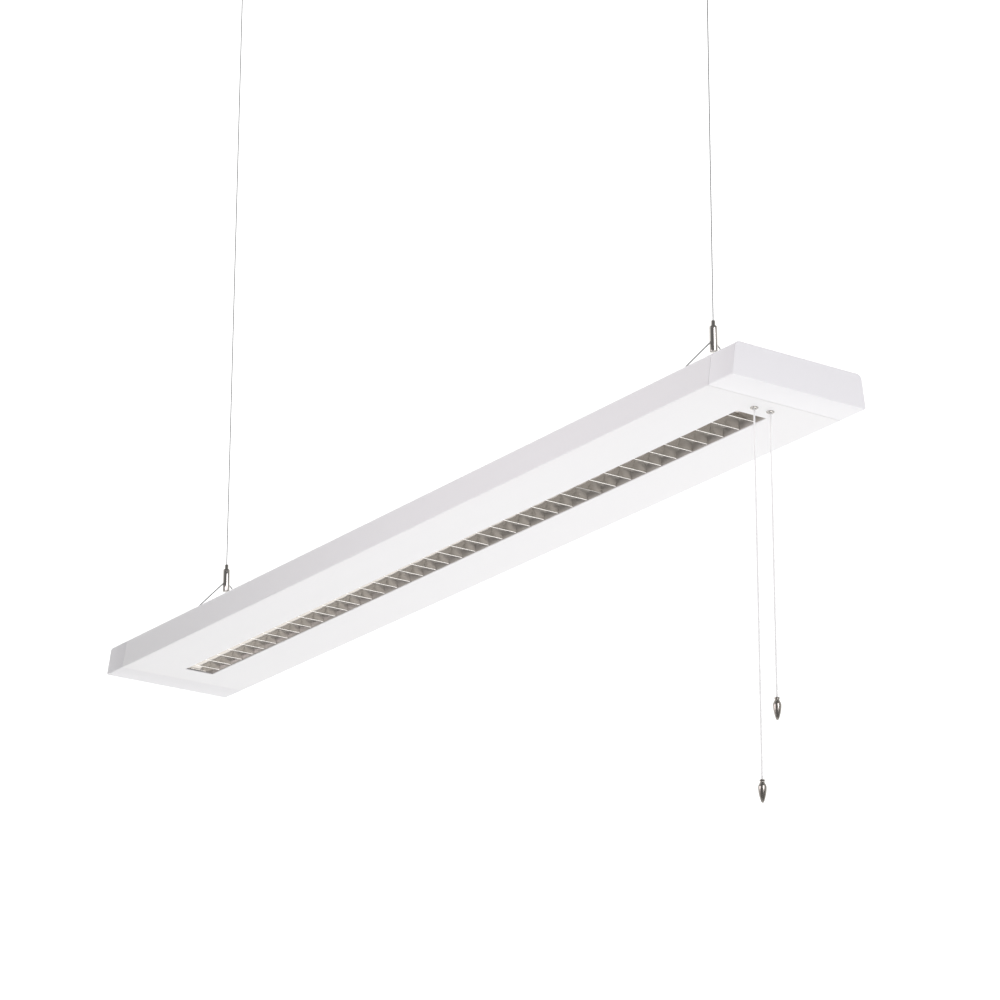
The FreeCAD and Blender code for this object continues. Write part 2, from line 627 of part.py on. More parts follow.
def make_gland():
    x, base = INLET_X, HEIGHT + SHEET
    top = base + GLAND_BASE_HEIGHT
    body = hexagon(x, 0, base, top, GLAND_FLATS)
    thread = rod(x, 0, FLANGE_Z - GLAND_NUT_HEIGHT, base, GLAND_THREAD_RADIUS)
    dome = rod(x, 0, top, top + GLAND_DOME_HEIGHT, GLAND_THREAD_RADIUS)
    bore = rod(x, 0, 0, DROP, CABLE_BORE_RADIUS)
    save("cable_gland", [body.fuse([thread, dome]).cut(bore).removeSplitter()])
    nut = hexagon(x, 0, HEIGHT - GLAND_NUT_HEIGHT, HEIGHT, GLAND_FLATS)
    save("gland_nut", [nut.cut(rod(x, 0, 0, DROP, GLAND_THREAD_RADIUS + THREAD_CLEARANCE))])


# ---- pull switches ----


def coil_spring(x, y, z0, z1, radius, wire, turns):
    """A square-wire coil with its ends on z0 and z1, drawn in short straight lengths."""
    half = wire / 2
    count = turns * SPRING_STEPS
    climb = (z1 - z0 - wire) / count
    points = []
    for i in range(count + 1):
        turn = 2 * math.pi * i / SPRING_STEPS
        points.append(Vector(x + radius * math.cos(turn), y + radius * math.sin(turn), z0 + half + climb * i))
    return swept(Part.makePolygon(points), half, 4, 1)


def make_switch(name, way):
    x, y = PULL_X, way * PULL_Y
    case = block(x, y, SWITCH_LENGTH / 2, SWITCH_WIDTH / 2, SHEET, SHEET + SWITCH_HEIGHT)
    case = case.fuse(rod(x, y, 0, SHEET, NECK_RADIUS))
    room = BAR_HEAD_HALF + BAR_CLEARANCE
    case = case.cut([block(x, y, room, room, SWITCH_FLOOR, SWITCH_ROOF),
                     rod(x, y, -1, SWITCH_FLOOR + 1, BAR_RADIUS + BAR_CLEARANCE)])
    save("pull_switch_" + name, [case.removeSplitter()])
    bar = block(x, y, BAR_HEAD_HALF, BAR_HEAD_HALF, BAR_SEAT, BAR_SEAT + BAR_HEAD_HEIGHT)
    save("pull_bar_" + name, [bar.fuse(rod(x, y, BAR_END, BAR_SEAT, BAR_RADIUS)).removeSplitter()])
    turns = PULL_SPRING_TURNS
    spring = coil_spring(x, y, SWITCH_FLOOR, BAR_SEAT, PULL_SPRING_RADIUS, PULL_SPRING_WIRE, turns)
    save("pull_spring_" + name, [spring])


def make_bush(name, way):
    """The ring under the housing that the cord runs through."""
    save("cord_bush_" + name, [ring(PULL_X, way * PULL_Y, -BUSH_DEPTH, 0, BUSH_RADIUS, BUSH_BORE_RADIUS)])


def make_knob(name, way, drop):
    """A bullet-shaped weight: a flared collar, a shoulder and a long taper to the tip."""
    x, y, top = PULL_X, way * PULL_Y, -drop
    outline = [(KNOB_COLLAR_RADIUS, top), (KNOB_NECK_RADIUS, top - KNOB_LENGTH * 0.1),
               (KNOB_RADIUS, top - KNOB_LENGTH * 0.3), (KNOB_TAPER_RADIUS, top - KNOB_LENGTH * 0.72),
               (KNOB_TIP_RADIUS, top - KNOB_LENGTH)]
    socket = rod(x, y, top - KNOB_SOCKET, top + 1, CORD_RADIUS + KNOB_BORE_CLEARANCE)
    save("cord_knob_" + name, [many_sided(x, y, outline, KNOB_SIDES).cut(socket)])


def make_cord(name, way, drop):
    """A straight cord from the pull bar down into the knob's socket."""
    low = -drop - KNOB_SOCKET
    cord = rod(PULL_X, way * PULL_Y, low, BAR_END, CORD_RADIUS)
    share = cord.Volume / (math.pi * CORD_RADIUS ** 2 * (BAR_END - low))
    print("pull cord", name, "straight, length", round(BAR_END - low, 1), "volume share", round(share, 4))
    save("pull_cord_" + name, [cord])


# ---- suspension ----


def sling_path(x):
    """The sling's centre line: two straight legs and the bend that passes through the gripper."""
    crown = SLING_APEX - SLING_BEND * (1 / math.cos(SLING_TILT) - 1)
    touch_y, touch_z = SLING_BEND * math.sin(SLING_TILT), crown - SLING_BEND * (1 - math.cos(SLING_TILT))
    end_y, end_z = FOOT_Y - FOOT_LENGTH / 2 * math.cos(SLING_TILT), FOOT_Z + FOOT_RISE
    front, back = Vector(x, -touch_y, touch_z), Vector(x, touch_y, touch_z)
    edges = [line(Vector(x, -end_y, end_z), front), arc(front, Vector(x, 0, crown), back)]
    return Part.Wire(edges + [line(back, Vector(x, end_y, end_z))])


def make_sling(name, x):
    path = sling_path(x)
    sling = swept(path, SLING_RADIUS, SLING_SIDES)
    section = SLING_SIDES * math.tan(math.pi / SLING_SIDES) * SLING_RADIUS ** 2
    share = sling.Volume / (section * path.Length)
    print("sling", name, "length", round(path.Length, 1), "bend", SLING_BEND, "volume share", round(share, 4))
    save("sling_" + name, [sling])
    sleeves = []
    for way in (-1, 1):
        up_leg = Vector(0, -way * math.cos(SLING_TILT), math.sin(SLING_TILT))
        start = Vector(x, way * FOOT_Y, FOOT_Z) - up_leg * (FOOT_LENGTH / 2)
        sleeves.append(Part.makeCylinder(FOOT_RADIUS, FOOT_LENGTH, start, up_leg))
    save("sling_ends_" + name, sleeves)


def jaw_reach(z):
    """How far out a jaw's flat back reaches at height z, inside the body's cone."""
    share = (GUIDE_Z - z) / CONE_LENGTH
    radius = CONE_TOP_RADIUS + share * (CONE_BOTTOM_RADIUS - CONE_TOP_RADIUS)
    return math.sqrt(radius ** 2 - (JAW_WIDTH / 2) ** 2) - JAW_CLEARANCE


def around(x, shape):
    """Copies of a shape set evenly round the gripper's axis, one for each jaw."""
    step, place = 360 / JAW_COUNT, Vector(x, 0, 0)
    return [shape.rotated(Vector(0, 0, 0), UP, i * step).translated(place) for i in range(JAW_COUNT)]


def make_gripper(name, x):
    """A wire gripper: the plunger's jaws are held up in a cone and grip, and pushed down they let go."""
    body = rod(x, 0, GRIPPER_BOTTOM, GRIPPER_TOP, GRIPPER_RADIUS)
    cone = Part.makeCone(CONE_BOTTOM_RADIUS, CONE_TOP_RADIUS, CONE_LENGTH, Vector(x, 0, CONE_SEAT_Z), UP)
    body = body.cut([rod(x, 0, GUIDE_Z, GRIPPER_TOP + 1, PLUNGER_RADIUS + PLUNGER_CLEARANCE), cone,
                     rod(x, 0, CHAMBER_BOTTOM, CONE_SEAT_Z, CONE_BOTTOM_RADIUS),
                     swept(sling_path(x), SLING_RADIUS + SLING_HOLE_CLEARANCE, 4)])
    save("gripper_body_" + name, body.Solids[:1])
    shoulder = GUIDE_Z + PLUNGER_STROKE + 0.5
    wire_room = WIRE_RADIUS + WIRE_CLEARANCE
    carrier = rod(x, 0, CARRIER_Z, shoulder, CARRIER_RADIUS)
    plunger = rod(x, 0, shoulder, PLUNGER_TOP, PLUNGER_RADIUS).fuse(carrier)
    jaw_top = JAW_BOTTOM + JAW_HEIGHT
    inner, half = WIRE_RADIUS + JAW_CLEARANCE, JAW_WIDTH / 2
    window = box(0, 2 * CARRIER_RADIUS, -half - JAW_CLEARANCE, half + JAW_CLEARANCE, JAW_BOTTOM, jaw_top)
    bore = rod(x, 0, CARRIER_Z - 1, PLUNGER_TOP + 1, wire_room)
    save("gripper_plunger_" + name, [plunger.removeSplitter().cut([bore] + around(x, window))])
    outline = [(inner, JAW_BOTTOM), (jaw_reach(JAW_BOTTOM), JAW_BOTTOM), (jaw_reach(jaw_top), jaw_top),
               (inner, jaw_top)]
    jaw = prism([Vector(r, -half, z) for r, z in outline], Vector(0, JAW_WIDTH, 0))
    save("gripper_jaws_" + name, around(x, jaw))
    middle = (WIRE_RADIUS + CONE_BOTTOM_RADIUS) / 2
    spring = coil_spring(x, 0, CHAMBER_BOTTOM, CARRIER_Z, middle, GRIPPER_SPRING_WIRE, GRIPPER_SPRING_TURNS)
    save("gripper_spring_" + name, [spring])


def make_wire(name, x):
    """The suspension wire, straight from its ball end to its cut end inside the gripper."""
    low, high = WIRE_END - DROP, -BALL_END_DEPTH
    print("suspension wire", name, "straight, length", round(high - low, 1))
    save("suspension_wire_" + name, [rod(x, 0, low, high, WIRE_RADIUS)], CEILING)


def ball_end(x):
    """A wire's end stop: a ball with flats at its poles and a round waist, bored from below."""
    waist = math.sqrt(BALL_END_RADIUS ** 2 - BALL_END_WAIST ** 2)
    pole = math.sqrt(BALL_END_RADIUS ** 2 - THROAT_RADIUS ** 2)
    outline = [(0, pole), (THROAT_RADIUS, pole), (waist, BALL_END_WAIST), (waist, -BALL_END_WAIST),
               (THROAT_RADIUS, -pole), (0, -pole)]
    ball = turned(x, 0, [(r, z - BALL_END_DEPTH) for r, z in outline])
    return ball.cut(rod(x, 0, -DROP, -BALL_END_DEPTH, WIRE_RADIUS + WIRE_BORE_CLEARANCE))


def ceiling_base(x):
    """A disc screwed to the ceiling, with the spigot that the cap goes on."""
    spigot = rod(x, 0, -BASE_FLANGE - BASE_SPIGOT, -BASE_FLANGE, BASE_SPIGOT_RADIUS)
    base = rod(x, 0, -BASE_FLANGE, 0, BASE_FLANGE_RADIUS).fuse(spigot)
    return base.cut(rod(x, 0, -DROP, DROP, CEILING_HOLE_RADIUS)).removeSplitter()


def ceiling_cap(x):
    """The cap that holds the wire's ball end: a deep cup with a throat for the wire."""
    cup = ring(x, 0, CAP_FLOOR_Z, -BASE_FLANGE, CAP_RADIUS, BASE_SPIGOT_RADIUS + THREAD_CLEARANCE)
    return cup.fuse(ring(x, 0, -CAP_BOTTOM, CAP_FLOOR_Z, CAP_RADIUS, THROAT_RADIUS)).removeSplitter()


def make_ceiling_fixings():
    ends = [side * WIRE_X for side in SIDES.values()]
    save("ceiling_bases", [ceiling_base(x) for x in ends], CEILING)
    save("ceiling_caps", [ceiling_cap(x) for x in ends], CEILING)
    save("ball_ends", [ball_end(x) for x in ends], CEILING)


make_housing()
make_top_cover()
make_ceiling_fixings()
for label, direction in SIDES.items():
    make_end_cap(label, direction)
    make_wire(label, direction * WIRE_X)
    make_gripper(label, direction * WIRE_X)
    make_sling(label, direction * WIRE_X)
for label, (direction, hang) in CORDS.items():
    make_louvre_side(label, direction)
    make_switch(label, direction)
    make_bush(label, direction)
    make_cord(label, direction, hang)
    make_knob(label, direction, hang)
make_blades()
make_louvre_ends()
make_clips()
make_channel()
make_boards("downlight_boards", DOWN_BOARD_WIDTH, CHANNEL_UNDER, -1)
make_boards("uplight_boards", UP_BOARD_WIDTH, CHANNEL_TOP, 1)
make_lenses()
make_driver("driver_downlight", -DRIVER_X, -DRIVER_Y)
make_driver("driver_uplight", DRIVER_X, DRIVER_Y)
make_terminal_block()
make_earth_stud()
make_loom()
make_gland()
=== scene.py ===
import math

import bmesh
import bpy
from bpy.props import FloatProperty, FloatVectorProperty, IntProperty, PointerProperty
from bpy.types import Operator, Panel, PropertyGroup
from mathutils import Matrix, Vector


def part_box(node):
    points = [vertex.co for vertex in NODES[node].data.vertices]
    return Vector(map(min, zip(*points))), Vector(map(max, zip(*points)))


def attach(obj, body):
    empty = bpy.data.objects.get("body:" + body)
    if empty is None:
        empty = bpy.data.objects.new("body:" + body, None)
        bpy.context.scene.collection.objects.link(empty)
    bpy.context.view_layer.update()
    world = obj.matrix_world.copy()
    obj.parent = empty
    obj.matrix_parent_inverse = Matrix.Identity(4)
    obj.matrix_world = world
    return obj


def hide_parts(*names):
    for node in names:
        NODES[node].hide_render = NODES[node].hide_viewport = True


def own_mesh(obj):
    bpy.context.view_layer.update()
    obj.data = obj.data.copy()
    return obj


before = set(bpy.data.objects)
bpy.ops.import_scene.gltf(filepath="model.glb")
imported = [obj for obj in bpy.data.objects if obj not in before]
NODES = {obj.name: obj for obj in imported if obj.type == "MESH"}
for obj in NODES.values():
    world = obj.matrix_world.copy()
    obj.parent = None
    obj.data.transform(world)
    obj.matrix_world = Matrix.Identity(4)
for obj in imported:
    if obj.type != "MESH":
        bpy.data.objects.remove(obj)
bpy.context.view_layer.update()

bl_info = {
    "name": "Hanging workplace light",
    "version": (1, 0, 0),
    "blender": (4, 5, 0),
    "location": "View3D > Sidebar > Workplace light",
    "description": "Dresses the packed frame of a wire-hung luminaire with its shapes and finishes",
    "category": "Add Mesh",
}

MM = 0.001
DROP = -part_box("cord_bush_front")[1].z / MM  # ceiling to the housing's bottom face, in mm
HALF_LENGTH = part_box("end_cap_right")[1].x / MM
WAYS = {"front": -1, "back": 1}
SIDES = {"left": -1, "right": 1}

# ---- the lamp's sizes in mm; heights are above its bottom face ----
HALF_WIDTH = 89.0
HEIGHT = 38.5
SIDE_LEAN = 5.2
SHEET = 1.0
CAP_START = 601.5
HOUSING_END = 601.2
OPENING_HALF = 561.5
OPENING_WIDTH = 39.8
FLANGE_EDGE = 50.0
PULL_X = 579.3
PULL_Y = 10.85
WIRE_X = 500.0
GRIPPER_LOW = 90.8
GRIPPER_HIGH = 120.0
FOOT_Y = 67.08
FOOT_Z = 33.87
SLING_APEX = 105.8
LOUVRE_LOW, LOUVRE_HIGH = 1.0, 21.5
REFLECTOR = ((20.1, LOUVRE_LOW), (18.0, 11.0), (12.0, LOUVRE_HIGH))  # its folds: from the middle, height
BLADE_PITCH = 27.17
TAB_LOW, TAB_HIGH = 3.4, 6.8
PLATE_GAP = 0.15  # between the reflectors and the edges of the blades and end plates
BUSH_DEPTH = 1.5
PLUNGER_OUT = 6.5  # how far a plunger stands out of its gripper
SLOT_LOW, SLOT_HIGH = 36.5, 39.5  # the cutters of the top's slots, from under the sheet to above it
TOP_SLOTS = (  # x and y of the middle, then half the length and half the width
    (WIRE_X, 63.2, 1.8, 2.2), (WIRE_X, 68.25, 2.9, 2.95),  # a keyhole for a sling's stop sleeve
    (596.5, 69.0, 2.25, 5.25),  # an end cap's barb
    (575.0, 53.5, 7.25, 0.75), (191.67, 53.5, 7.25, 0.75),  # the top cover's tongues
)
PLUG_END, PLUG_INSET = 2.8, 2.4  # an end cap's inner plate: short of the end face, and smaller all round
COLLAR_FROM, COLLAR_TO = -10.0, 2.4  # the cap's collar, which sits inside the housing: from the cap's edge
COLLAR_OUT, COLLAR_IN = 1.15, 2.95  # insets of its two faces
BARB_Y, BARB_HALF = 69.0, 5.0
BARB = ((594.5, 36.8), (598.5, 36.8), (598.5, 38.05), (594.5, 37.35))  # x and height of a barb's corners
GRIPPER_SPRING, PULL_SPRING = (0.4, 2), (0.7, 3)  # wire in mm and number of turns
TURN_STEPS = 24  # points of a spring's path in one turn

# ---- the stage, in metres ----
CAMERA_PLACE = (3.46094, -2.35770, -2.38252)
FLOOR_REACH = 3.0
ROOM_BACK = (-0.82, 0.574, 0.0)  # the way the camera looks, level: the room is brightest there
DIM_AT, BRIGHT_AT, DIM, BRIGHT = -0.4, 0.5, 0.2, 1.3  # how far that way the light grows, from DIM to BRIGHT
PANELS = (  # name, width, depth, watts, colour, place and the point it faces
    ("low_panel", 2.2, 1.4, 15.3, "#FFFFFF", (0.3, 0.3, -2.55), (0.0, 0.0, -1.0)),
    ("side_panel", 0.8, 0.4, 2.9, "#FFF6FD", (0.3, -0.95, -1.05), (0.3, 0.0, -0.94)),
    ("end_panel", 1.2, 1.2, 23.3, "#FDFBFF", (2.6, -0.2, -0.6), (0.6, 0.0, -0.95)),
)


# ---------------------------------------------------------------- sizes and colours that a user may change


def colour(value):
    """An sRGB hex colour as linear values with alpha, as Blender's sockets take it."""
    parts = [int(value[i:i + 2], 16) / 255 for i in (1, 3, 5)]
    return tuple(c / 12.92 if c <= 0.04045 else ((c + 0.055) / 1.055) ** 2.4 for c in parts) + (1.0,)


def length(name, description, millimetres):
    """A length that a user may change."""
    return FloatProperty(name=name, description=description, default=millimetres * MM, min=0.0, unit="LENGTH")


def tint(name, description, value):
    """A colour that a user may change."""
    return FloatVectorProperty(name=name, description=description, default=colour(value), size=4, min=0.0,
                               max=1.0, subtype="COLOR")


class LampSizes(PropertyGroup):
    """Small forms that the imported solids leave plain."""

    edge_radius: length("Bottom fold", "Outside radius of the housing's bottom folds", 1.6)
    top_radius: length("Top fold", "Outside radius of the housing's top folds", 7.0)
    cap_rounding: length("End rounding", "Rounding round an end cap's face", 0.9)
    reflector_sheet: length("Reflector sheet", "Thickness of the reflectors and blades", 0.5)
    blade_bow: length("Blade bow", "How far a blade's flank curves in from its chord", 0.93)
    blade_count: IntProperty(name="Blades", description="Number of louvre blades", default=41, min=1)
    wire_diameter: length("Suspension wire", "Diameter of a suspension wire", 1.2)
    cord_diameter: length("Pull cord", "Diameter of a pull cord", 2.0)
    sling_diameter: length("Sling wire", "Diameter of a sling's wire", 1.5)
    knob_radius: length("Knob radius", "Radius at a cord weight's shoulder", 4.5)


class LampColours(PropertyGroup):
    """Colours of the finishes that show from outside."""

    enamel: tint("Powder coat", "The folded steel housing", "#F3F2F3")
    plastic: tint("End cap plastic", "The moulded end caps", "#F3F2F4")
    aluminium: tint("Bright aluminium", "Louvre blades", "#EBE8E4")
    reflector: tint("Satin aluminium", "Side reflectors of the louvre", "#CBC7C3")
    nickel: tint("Bright nickel", "Wire grippers, bushes and ceiling fittings", "#CBC7C2")
    satin: tint("Satin nickel", "Cord weights", "#A8A39C")
    cord: tint("Pull cord", "The braided cord", "#FBFBFA")
    wire: tint("Steel wire", "Suspension wires and slings", "#C9C9C9")


class StageSettings(PropertyGroup):
    """Camera and light."""

    lens: FloatProperty(name="Lens", description="Focal length on a 36 mm sensor", default=137.378, min=1.0,
                        unit="CAMERA")
    azimuth: FloatProperty(name="Azimuth", description="Camera's bearing round the lamp",
                           default=math.radians(54.917), subtype="ANGLE")
    elevation: FloatProperty(name="Elevation", description="Camera's height above the lamp's horizon",
                             default=math.radians(-19.664), subtype="ANGLE")
    roll: FloatProperty(name="Roll", description="Camera's tilt about its own line of sight",
                        default=math.radians(0.122), subtype="ANGLE")
    floor_level: FloatProperty(name="Floor", description="Height of the floor under the ceiling",
                               default=-2.6, unit="LENGTH")
    sky: FloatProperty(name="Room light", description="Strength of the room's light", default=1.0, min=0.0)


# ---------------------------------------------------------------- materials


def add_node(tree, kind, feeds=None, **settings):
    """Adds a node, gives its settings, and links or sets the sockets named in feeds."""
    node = tree.nodes.new(kind)
    for key, value in settings.items():
        setattr(node, key, value)
    for socket, source in (feeds or {}).items():
        if isinstance(source, bpy.types.NodeSocket):
            tree.links.new(source, node.inputs[socket])
        else:
            node.inputs[socket].default_value = source
    return node


def surface(name, base, shade, roughness, grain, relief, stretch=(1, 1, 1), build=None, **sockets):
    """A material whose colour varies a little from base towards shade, with a grain of a real size in mm that
    also moves the roughness between two values and raises the surface by relief mm."""
    found = bpy.data.materials.get(name)
    if found:
        return found
    made = bpy.data.materials.new(name)
    made.use_nodes = True
    tree = made.node_tree
    tree.nodes.clear()
    place = add_node(tree, "ShaderNodeTexCoord").outputs["Object"]
    scaled = add_node(tree, "ShaderNodeMapping", {"Vector": place, "Scale": stretch})
    noise = add_node(tree, "ShaderNodeTexNoise", {"Vector": scaled.outputs[0], "Scale": 1 / (grain * MM),
                                                  "Detail": 3.0, "Roughness": 0.55}).outputs[0]
    mixed = add_node(tree, "ShaderNodeMix", {0: noise, 6: base, 7: shade}, data_type="RGBA").outputs[2]
    rough = add_node(tree, "ShaderNodeMapRange", {"Value": noise, "To Min": roughness[0],
                                                  "To Max": roughness[1]})
    height, lift = noise, relief
    if build:
        mixed, height, lift = build(tree, place, mixed, noise)
    bump = add_node(tree, "ShaderNodeBump", {"Height": height, "Distance": lift * MM, "Strength": 1.0})
    shader = add_node(tree, "ShaderNodeBsdfPrincipled", {"Base Color": mixed, "Roughness": rough.outputs[0],
                                                         "Normal": bump.outputs[0], **sockets})
    add_node(tree, "ShaderNodeOutputMaterial", {"Surface": shader.outputs[0]})
    return made


def darker(base, share):
    """The colour at a share of its brightness."""
    return tuple(c * share for c in base[:3]) + (1.0,)


def wound(tree, place, pitch, starts):
    """Waves across yarns that are wound round Z and stand pitch mm apart along it: one wave for each number
    of starts, where a minus winds the other way."""
    parts = add_node(tree, "ShaderNodeSeparateXYZ", {0: place})
    turn = add_node(tree, "ShaderNodeMath", {0: parts.outputs[1], 1: parts.outputs[0]}, operation="ARCTAN2")
    climb = add_node(tree, "ShaderNodeMath", {0: parts.outputs[2], 1: 2 * math.pi / (pitch * MM)},
                     operation="MULTIPLY")
    waves = []
    for count in starts:
        phase = add_node(tree, "ShaderNodeMath", {0: turn.outputs[0], 1: count, 2: climb.outputs[0]},
                         operation="MULTIPLY_ADD")
        waves.append(add_node(tree, "ShaderNodeMath", {0: phase.outputs[0]}, operation="SINE").outputs[0])
    return waves


def sprayed_steel():
    """Powder-coated steel: an even semi-gloss white whose faint orange peel softens every highlight."""
    base = tuple(bpy.context.scene.lamp_colours.enamel)
    return surface("powder_coated_steel", base, darker(base, 0.975), (0.36, 0.44), 2.2, 0.006,
                   IOR=1.5, **{"Coat Weight": 0.08, "Coat Roughness": 0.3})


def moulded_white():
    """Polycarbonate, moulded in a spark-eroded tool: the same white as the coat but a shade softer."""
    base = tuple(bpy.context.scene.lamp_colours.plastic)
    return surface("moulded_polycarbonate", base, darker(base, 0.98), (0.42, 0.5), 1.2, 0.008, IOR=1.58)


def mirror_aluminium():
    """Bright-anodised rolled aluminium of the blades: nearly a mirror, with a faint rolling grain across.
    The real grain is under 0.1 mm and is drawn at 0.6 mm so that it shows."""
    base = tuple(bpy.context.scene.lamp_colours.aluminium)
    return surface("bright_anodised_aluminium", base, darker(base, 0.97), (0.05, 0.09), 0.6, 0.0001,
                   (1, 0.04, 1), Metallic=1.0)


def satin_aluminium():
    """Satin-anodised rolled aluminium of the side reflectors: it blurs what it reflects to an even grey.
    The real grain is under 0.1 mm and is drawn at 0.6 mm so that it shows."""
    base = tuple(bpy.context.scene.lamp_colours.reflector)
    return surface("satin_anodised_aluminium", base, darker(base, 0.96), (0.34, 0.4), 0.6, 0.0004,
                   (0.02, 1, 1), Metallic=1.0)


def polished_nickel():
    """Bright nickel plate over turned brass: a clear warm mirror with faint handling marks."""
    base = tuple(bpy.context.scene.lamp_colours.nickel)
    return surface("polished_nickel_plate", base, darker(base, 0.95), (0.06, 0.1), 3.0, 0.0001, Metallic=1.0)


def satin_nickel():
    """Satin nickel plate over a turned weight: reflections stay whole but lose their edge."""
    base = tuple(bpy.context.scene.lamp_colours.satin)
    return surface("satin_nickel_plate", base, darker(base, 0.9), (0.2, 0.27), 0.8, 0.001, (1, 1, 0.3),
                   Metallic=1.0)


def stranded_wire():
    """Stranded stainless wire: six bright strands wound round, 1.5 mm apart along the wire, with painted
    shade, a grey colour, in the grooves between them."""

    def strands(tree, place, mixed, noise):
        share = add_node(tree, "ShaderNodeMapRange", {"Value": wound(tree, place, 1.5, (6.0,))[0],
                                                      "From Min": -1.0})
        # painted shade: the grooves between the strands get a grey colour, darker than the steel
        painted_groove_shade = add_node(tree, "ShaderNodeMix", {0: share.outputs[0], 6: colour("#8E8E8E"), 7: mixed},
                        data_type="RGBA")
        return painted_groove_shade.outputs[2], share.outputs[0], 0.06

    base = tuple(bpy.context.scene.lamp_colours.wire)
    return surface("stranded_stainless_wire", base, darker(base, 0.9), (0.28, 0.36), 0.5, 0.05,
                   build=strands, Metallic=1.0)


def braided_cord():
    """Braided polyester: matt white yarns that cross round the cord, eight each way, 1 mm apart along it,
    with painted shade, a greyer white, in the gaps between them.
    """

    def braid(tree, place, mixed, noise):
        one_way, other_way = wound(tree, place, 1.0, (8.0, -8.0))
        both = add_node(tree, "ShaderNodeMath", {0: one_way, 1: other_way}, operation="MAXIMUM")
        share = add_node(tree, "ShaderNodeMapRange", {"Value": both.outputs[0], "From Min": -1.0})
        # painted shade: the gaps between the yarns get a greyer white than the yarns themselves
        painted_groove_shade = add_node(tree, "ShaderNodeMix", {0: share.outputs[0], 6: colour("#F0F0EE"), 7: mixed},
                        data_type="RGBA")
        return painted_groove_shade.outputs[2], share.outputs[0], 0.03

    base = tuple(bpy.context.scene.lamp_colours.cord)
    return surface("braided_polyester_cord", base, darker(base, 0.97), (0.7, 0.82), 0.4, 0.05, build=braid,
                   **{"Sheen Weight": 0.25, "Sheen Roughness": 0.5})


def led_board():
    """An aluminium board under white solder mask, with a yellowish phosphor chip every 14 mm."""

    def chips(tree, place, mixed, noise):
        parts = add_node(tree, "ShaderNodeSeparateXYZ", {0: place})
        step = add_node(tree, "ShaderNodeMath", {0: parts.outputs[0], 1: 7 * MM}, operation="PINGPONG")
        near = add_node(tree, "ShaderNodeMath", {0: step.outputs[0], 1: 1.6 * MM}, operation="LESS_THAN")
        across = add_node(tree, "ShaderNodeMath", {0: parts.outputs[1]}, operation="ABSOLUTE")
        middle = add_node(tree, "ShaderNodeMath", {0: across.outputs[0], 1: 1.4 * MM}, operation="LESS_THAN")
        chip = add_node(tree, "ShaderNodeMath", {0: near.outputs[0], 1: middle.outputs[0]},
                        operation="MULTIPLY")
        warm = add_node(tree, "ShaderNodeMix", {0: chip.outputs[0], 6: mixed, 7: colour("#E8D77A")},
                        data_type="RGBA")
        return warm.outputs[2], noise, 0.004

    return surface("white_solder_mask", colour("#F2F2EE"), colour("#E9E9E4"), (0.4, 0.5), 1.0, 0.004,
                   build=chips, IOR=1.5)


def opal_acrylic():
    """Extruded opal acrylic: milky and even, so the boards above it don't show as spots."""
    return surface("opal_acrylic", colour("#EDECE8"), colour("#E4E3DE"), (0.3, 0.36), 4.0, 0.002, IOR=1.49,
                   **{"Transmission Weight": 0.25})


def frosted_acrylic():
    """Clear acrylic with a frosted face: it passes the upward light and blurs what is under it."""
    return surface("frosted_acrylic", colour("#F4F6F6"), colour("#EDEFEF"), (0.35, 0.45), 1.0, 0.004,
                   IOR=1.49, **{"Transmission Weight": 0.35})


def mill_aluminium():
    """Extruded aluminium, left as it comes from the die: soft lengthwise lines."""
    return surface("extruded_aluminium", colour("#C9C9C8"), colour("#B4B4B3"), (0.35, 0.45), 0.8, 0.004,
                   (0.01, 1, 1), Metallic=1.0)


def spring_steel():
    """Cold-drawn spring steel: grey and lightly oiled."""
    return surface("drawn_spring_steel", colour("#9C9DA0"), colour("#7F8184"), (0.28, 0.38), 0.5, 0.002,
                   Metallic=1.0)


def turned_brass():
    """Turned brass of the earth stud: yellow, with fine turning lines round it."""
    return surface("turned_brass", colour("#C9A75A"), colour("#B08F48"), (0.25, 0.35), 0.4, 0.003, (1, 1, 6),
                   Metallic=1.0)


def gear_case():
    """Moulded ABS of the control gear: off-white and matt."""
    return surface("moulded_abs_case", colour("#E6E5E0"), colour("#DBDAD4"), (0.5, 0.6), 0.8, 0.015, IOR=1.54)


def terminal_polyamide():
    """Moulded polyamide of the terminals: light grey, a little glossy."""
    return surface("moulded_polyamide", colour("#C2C4C6"), colour("#B4B6B9"), (0.38, 0.46), 0.8, 0.01,
                   IOR=1.53)


def soft_sheath():
    """Soft PVC round the bundled wires: pale grey with a dull shine."""
    return surface("pvc_sheath", colour("#DDDDDB"), colour("#CFCFCC"), (0.45, 0.55), 1.5, 0.01, IOR=1.53)


def gland_nylon():
    """Moulded nylon of the cable gland: white and waxy."""
    return surface("moulded_nylon", colour("#ECEBE6"), colour("#E2E1DB"), (0.4, 0.48), 0.8, 0.01, IOR=1.53)


def switch_plastic():
    """Thermoset plastic of the pull switches: hard, white and slightly shiny."""
    return surface("pressed_thermoset", colour("#EFEEEA"), colour("#E6E5E0"), (0.32, 0.4), 0.8, 0.006,
                   IOR=1.6)


CARRIED_OVER = {
    "top_cover": sprayed_steel,
    "light_channel": mill_aluminium,
    "downlight_boards": led_board,
    "uplight_boards": led_board,
    "downlight_diffuser": opal_acrylic,
    "uplight_lens": frosted_acrylic,
    "driver_downlight": gear_case,
    "driver_uplight": gear_case,
    "terminal_block": terminal_polyamide,
    "earth_stud": turned_brass,
    "wiring_loom": soft_sheath,
    "cable_gland": gland_nylon,
    "gland_nut": gland_nylon,
    "louvre_clips": spring_steel,
    "ball_ends": polished_nickel,
    "ceiling_bases": polished_nickel,
    **{"gripper_jaws_" + side: spring_steel for side in SIDES},
    **{"sling_ends_" + side: polished_nickel for side in SIDES},
    **{"pull_switch_" + way: switch_plastic for way in WAYS},
    **{"pull_bar_" + way: switch_plastic for way in WAYS},
}


# ---------------------------------------------------------------- shapes


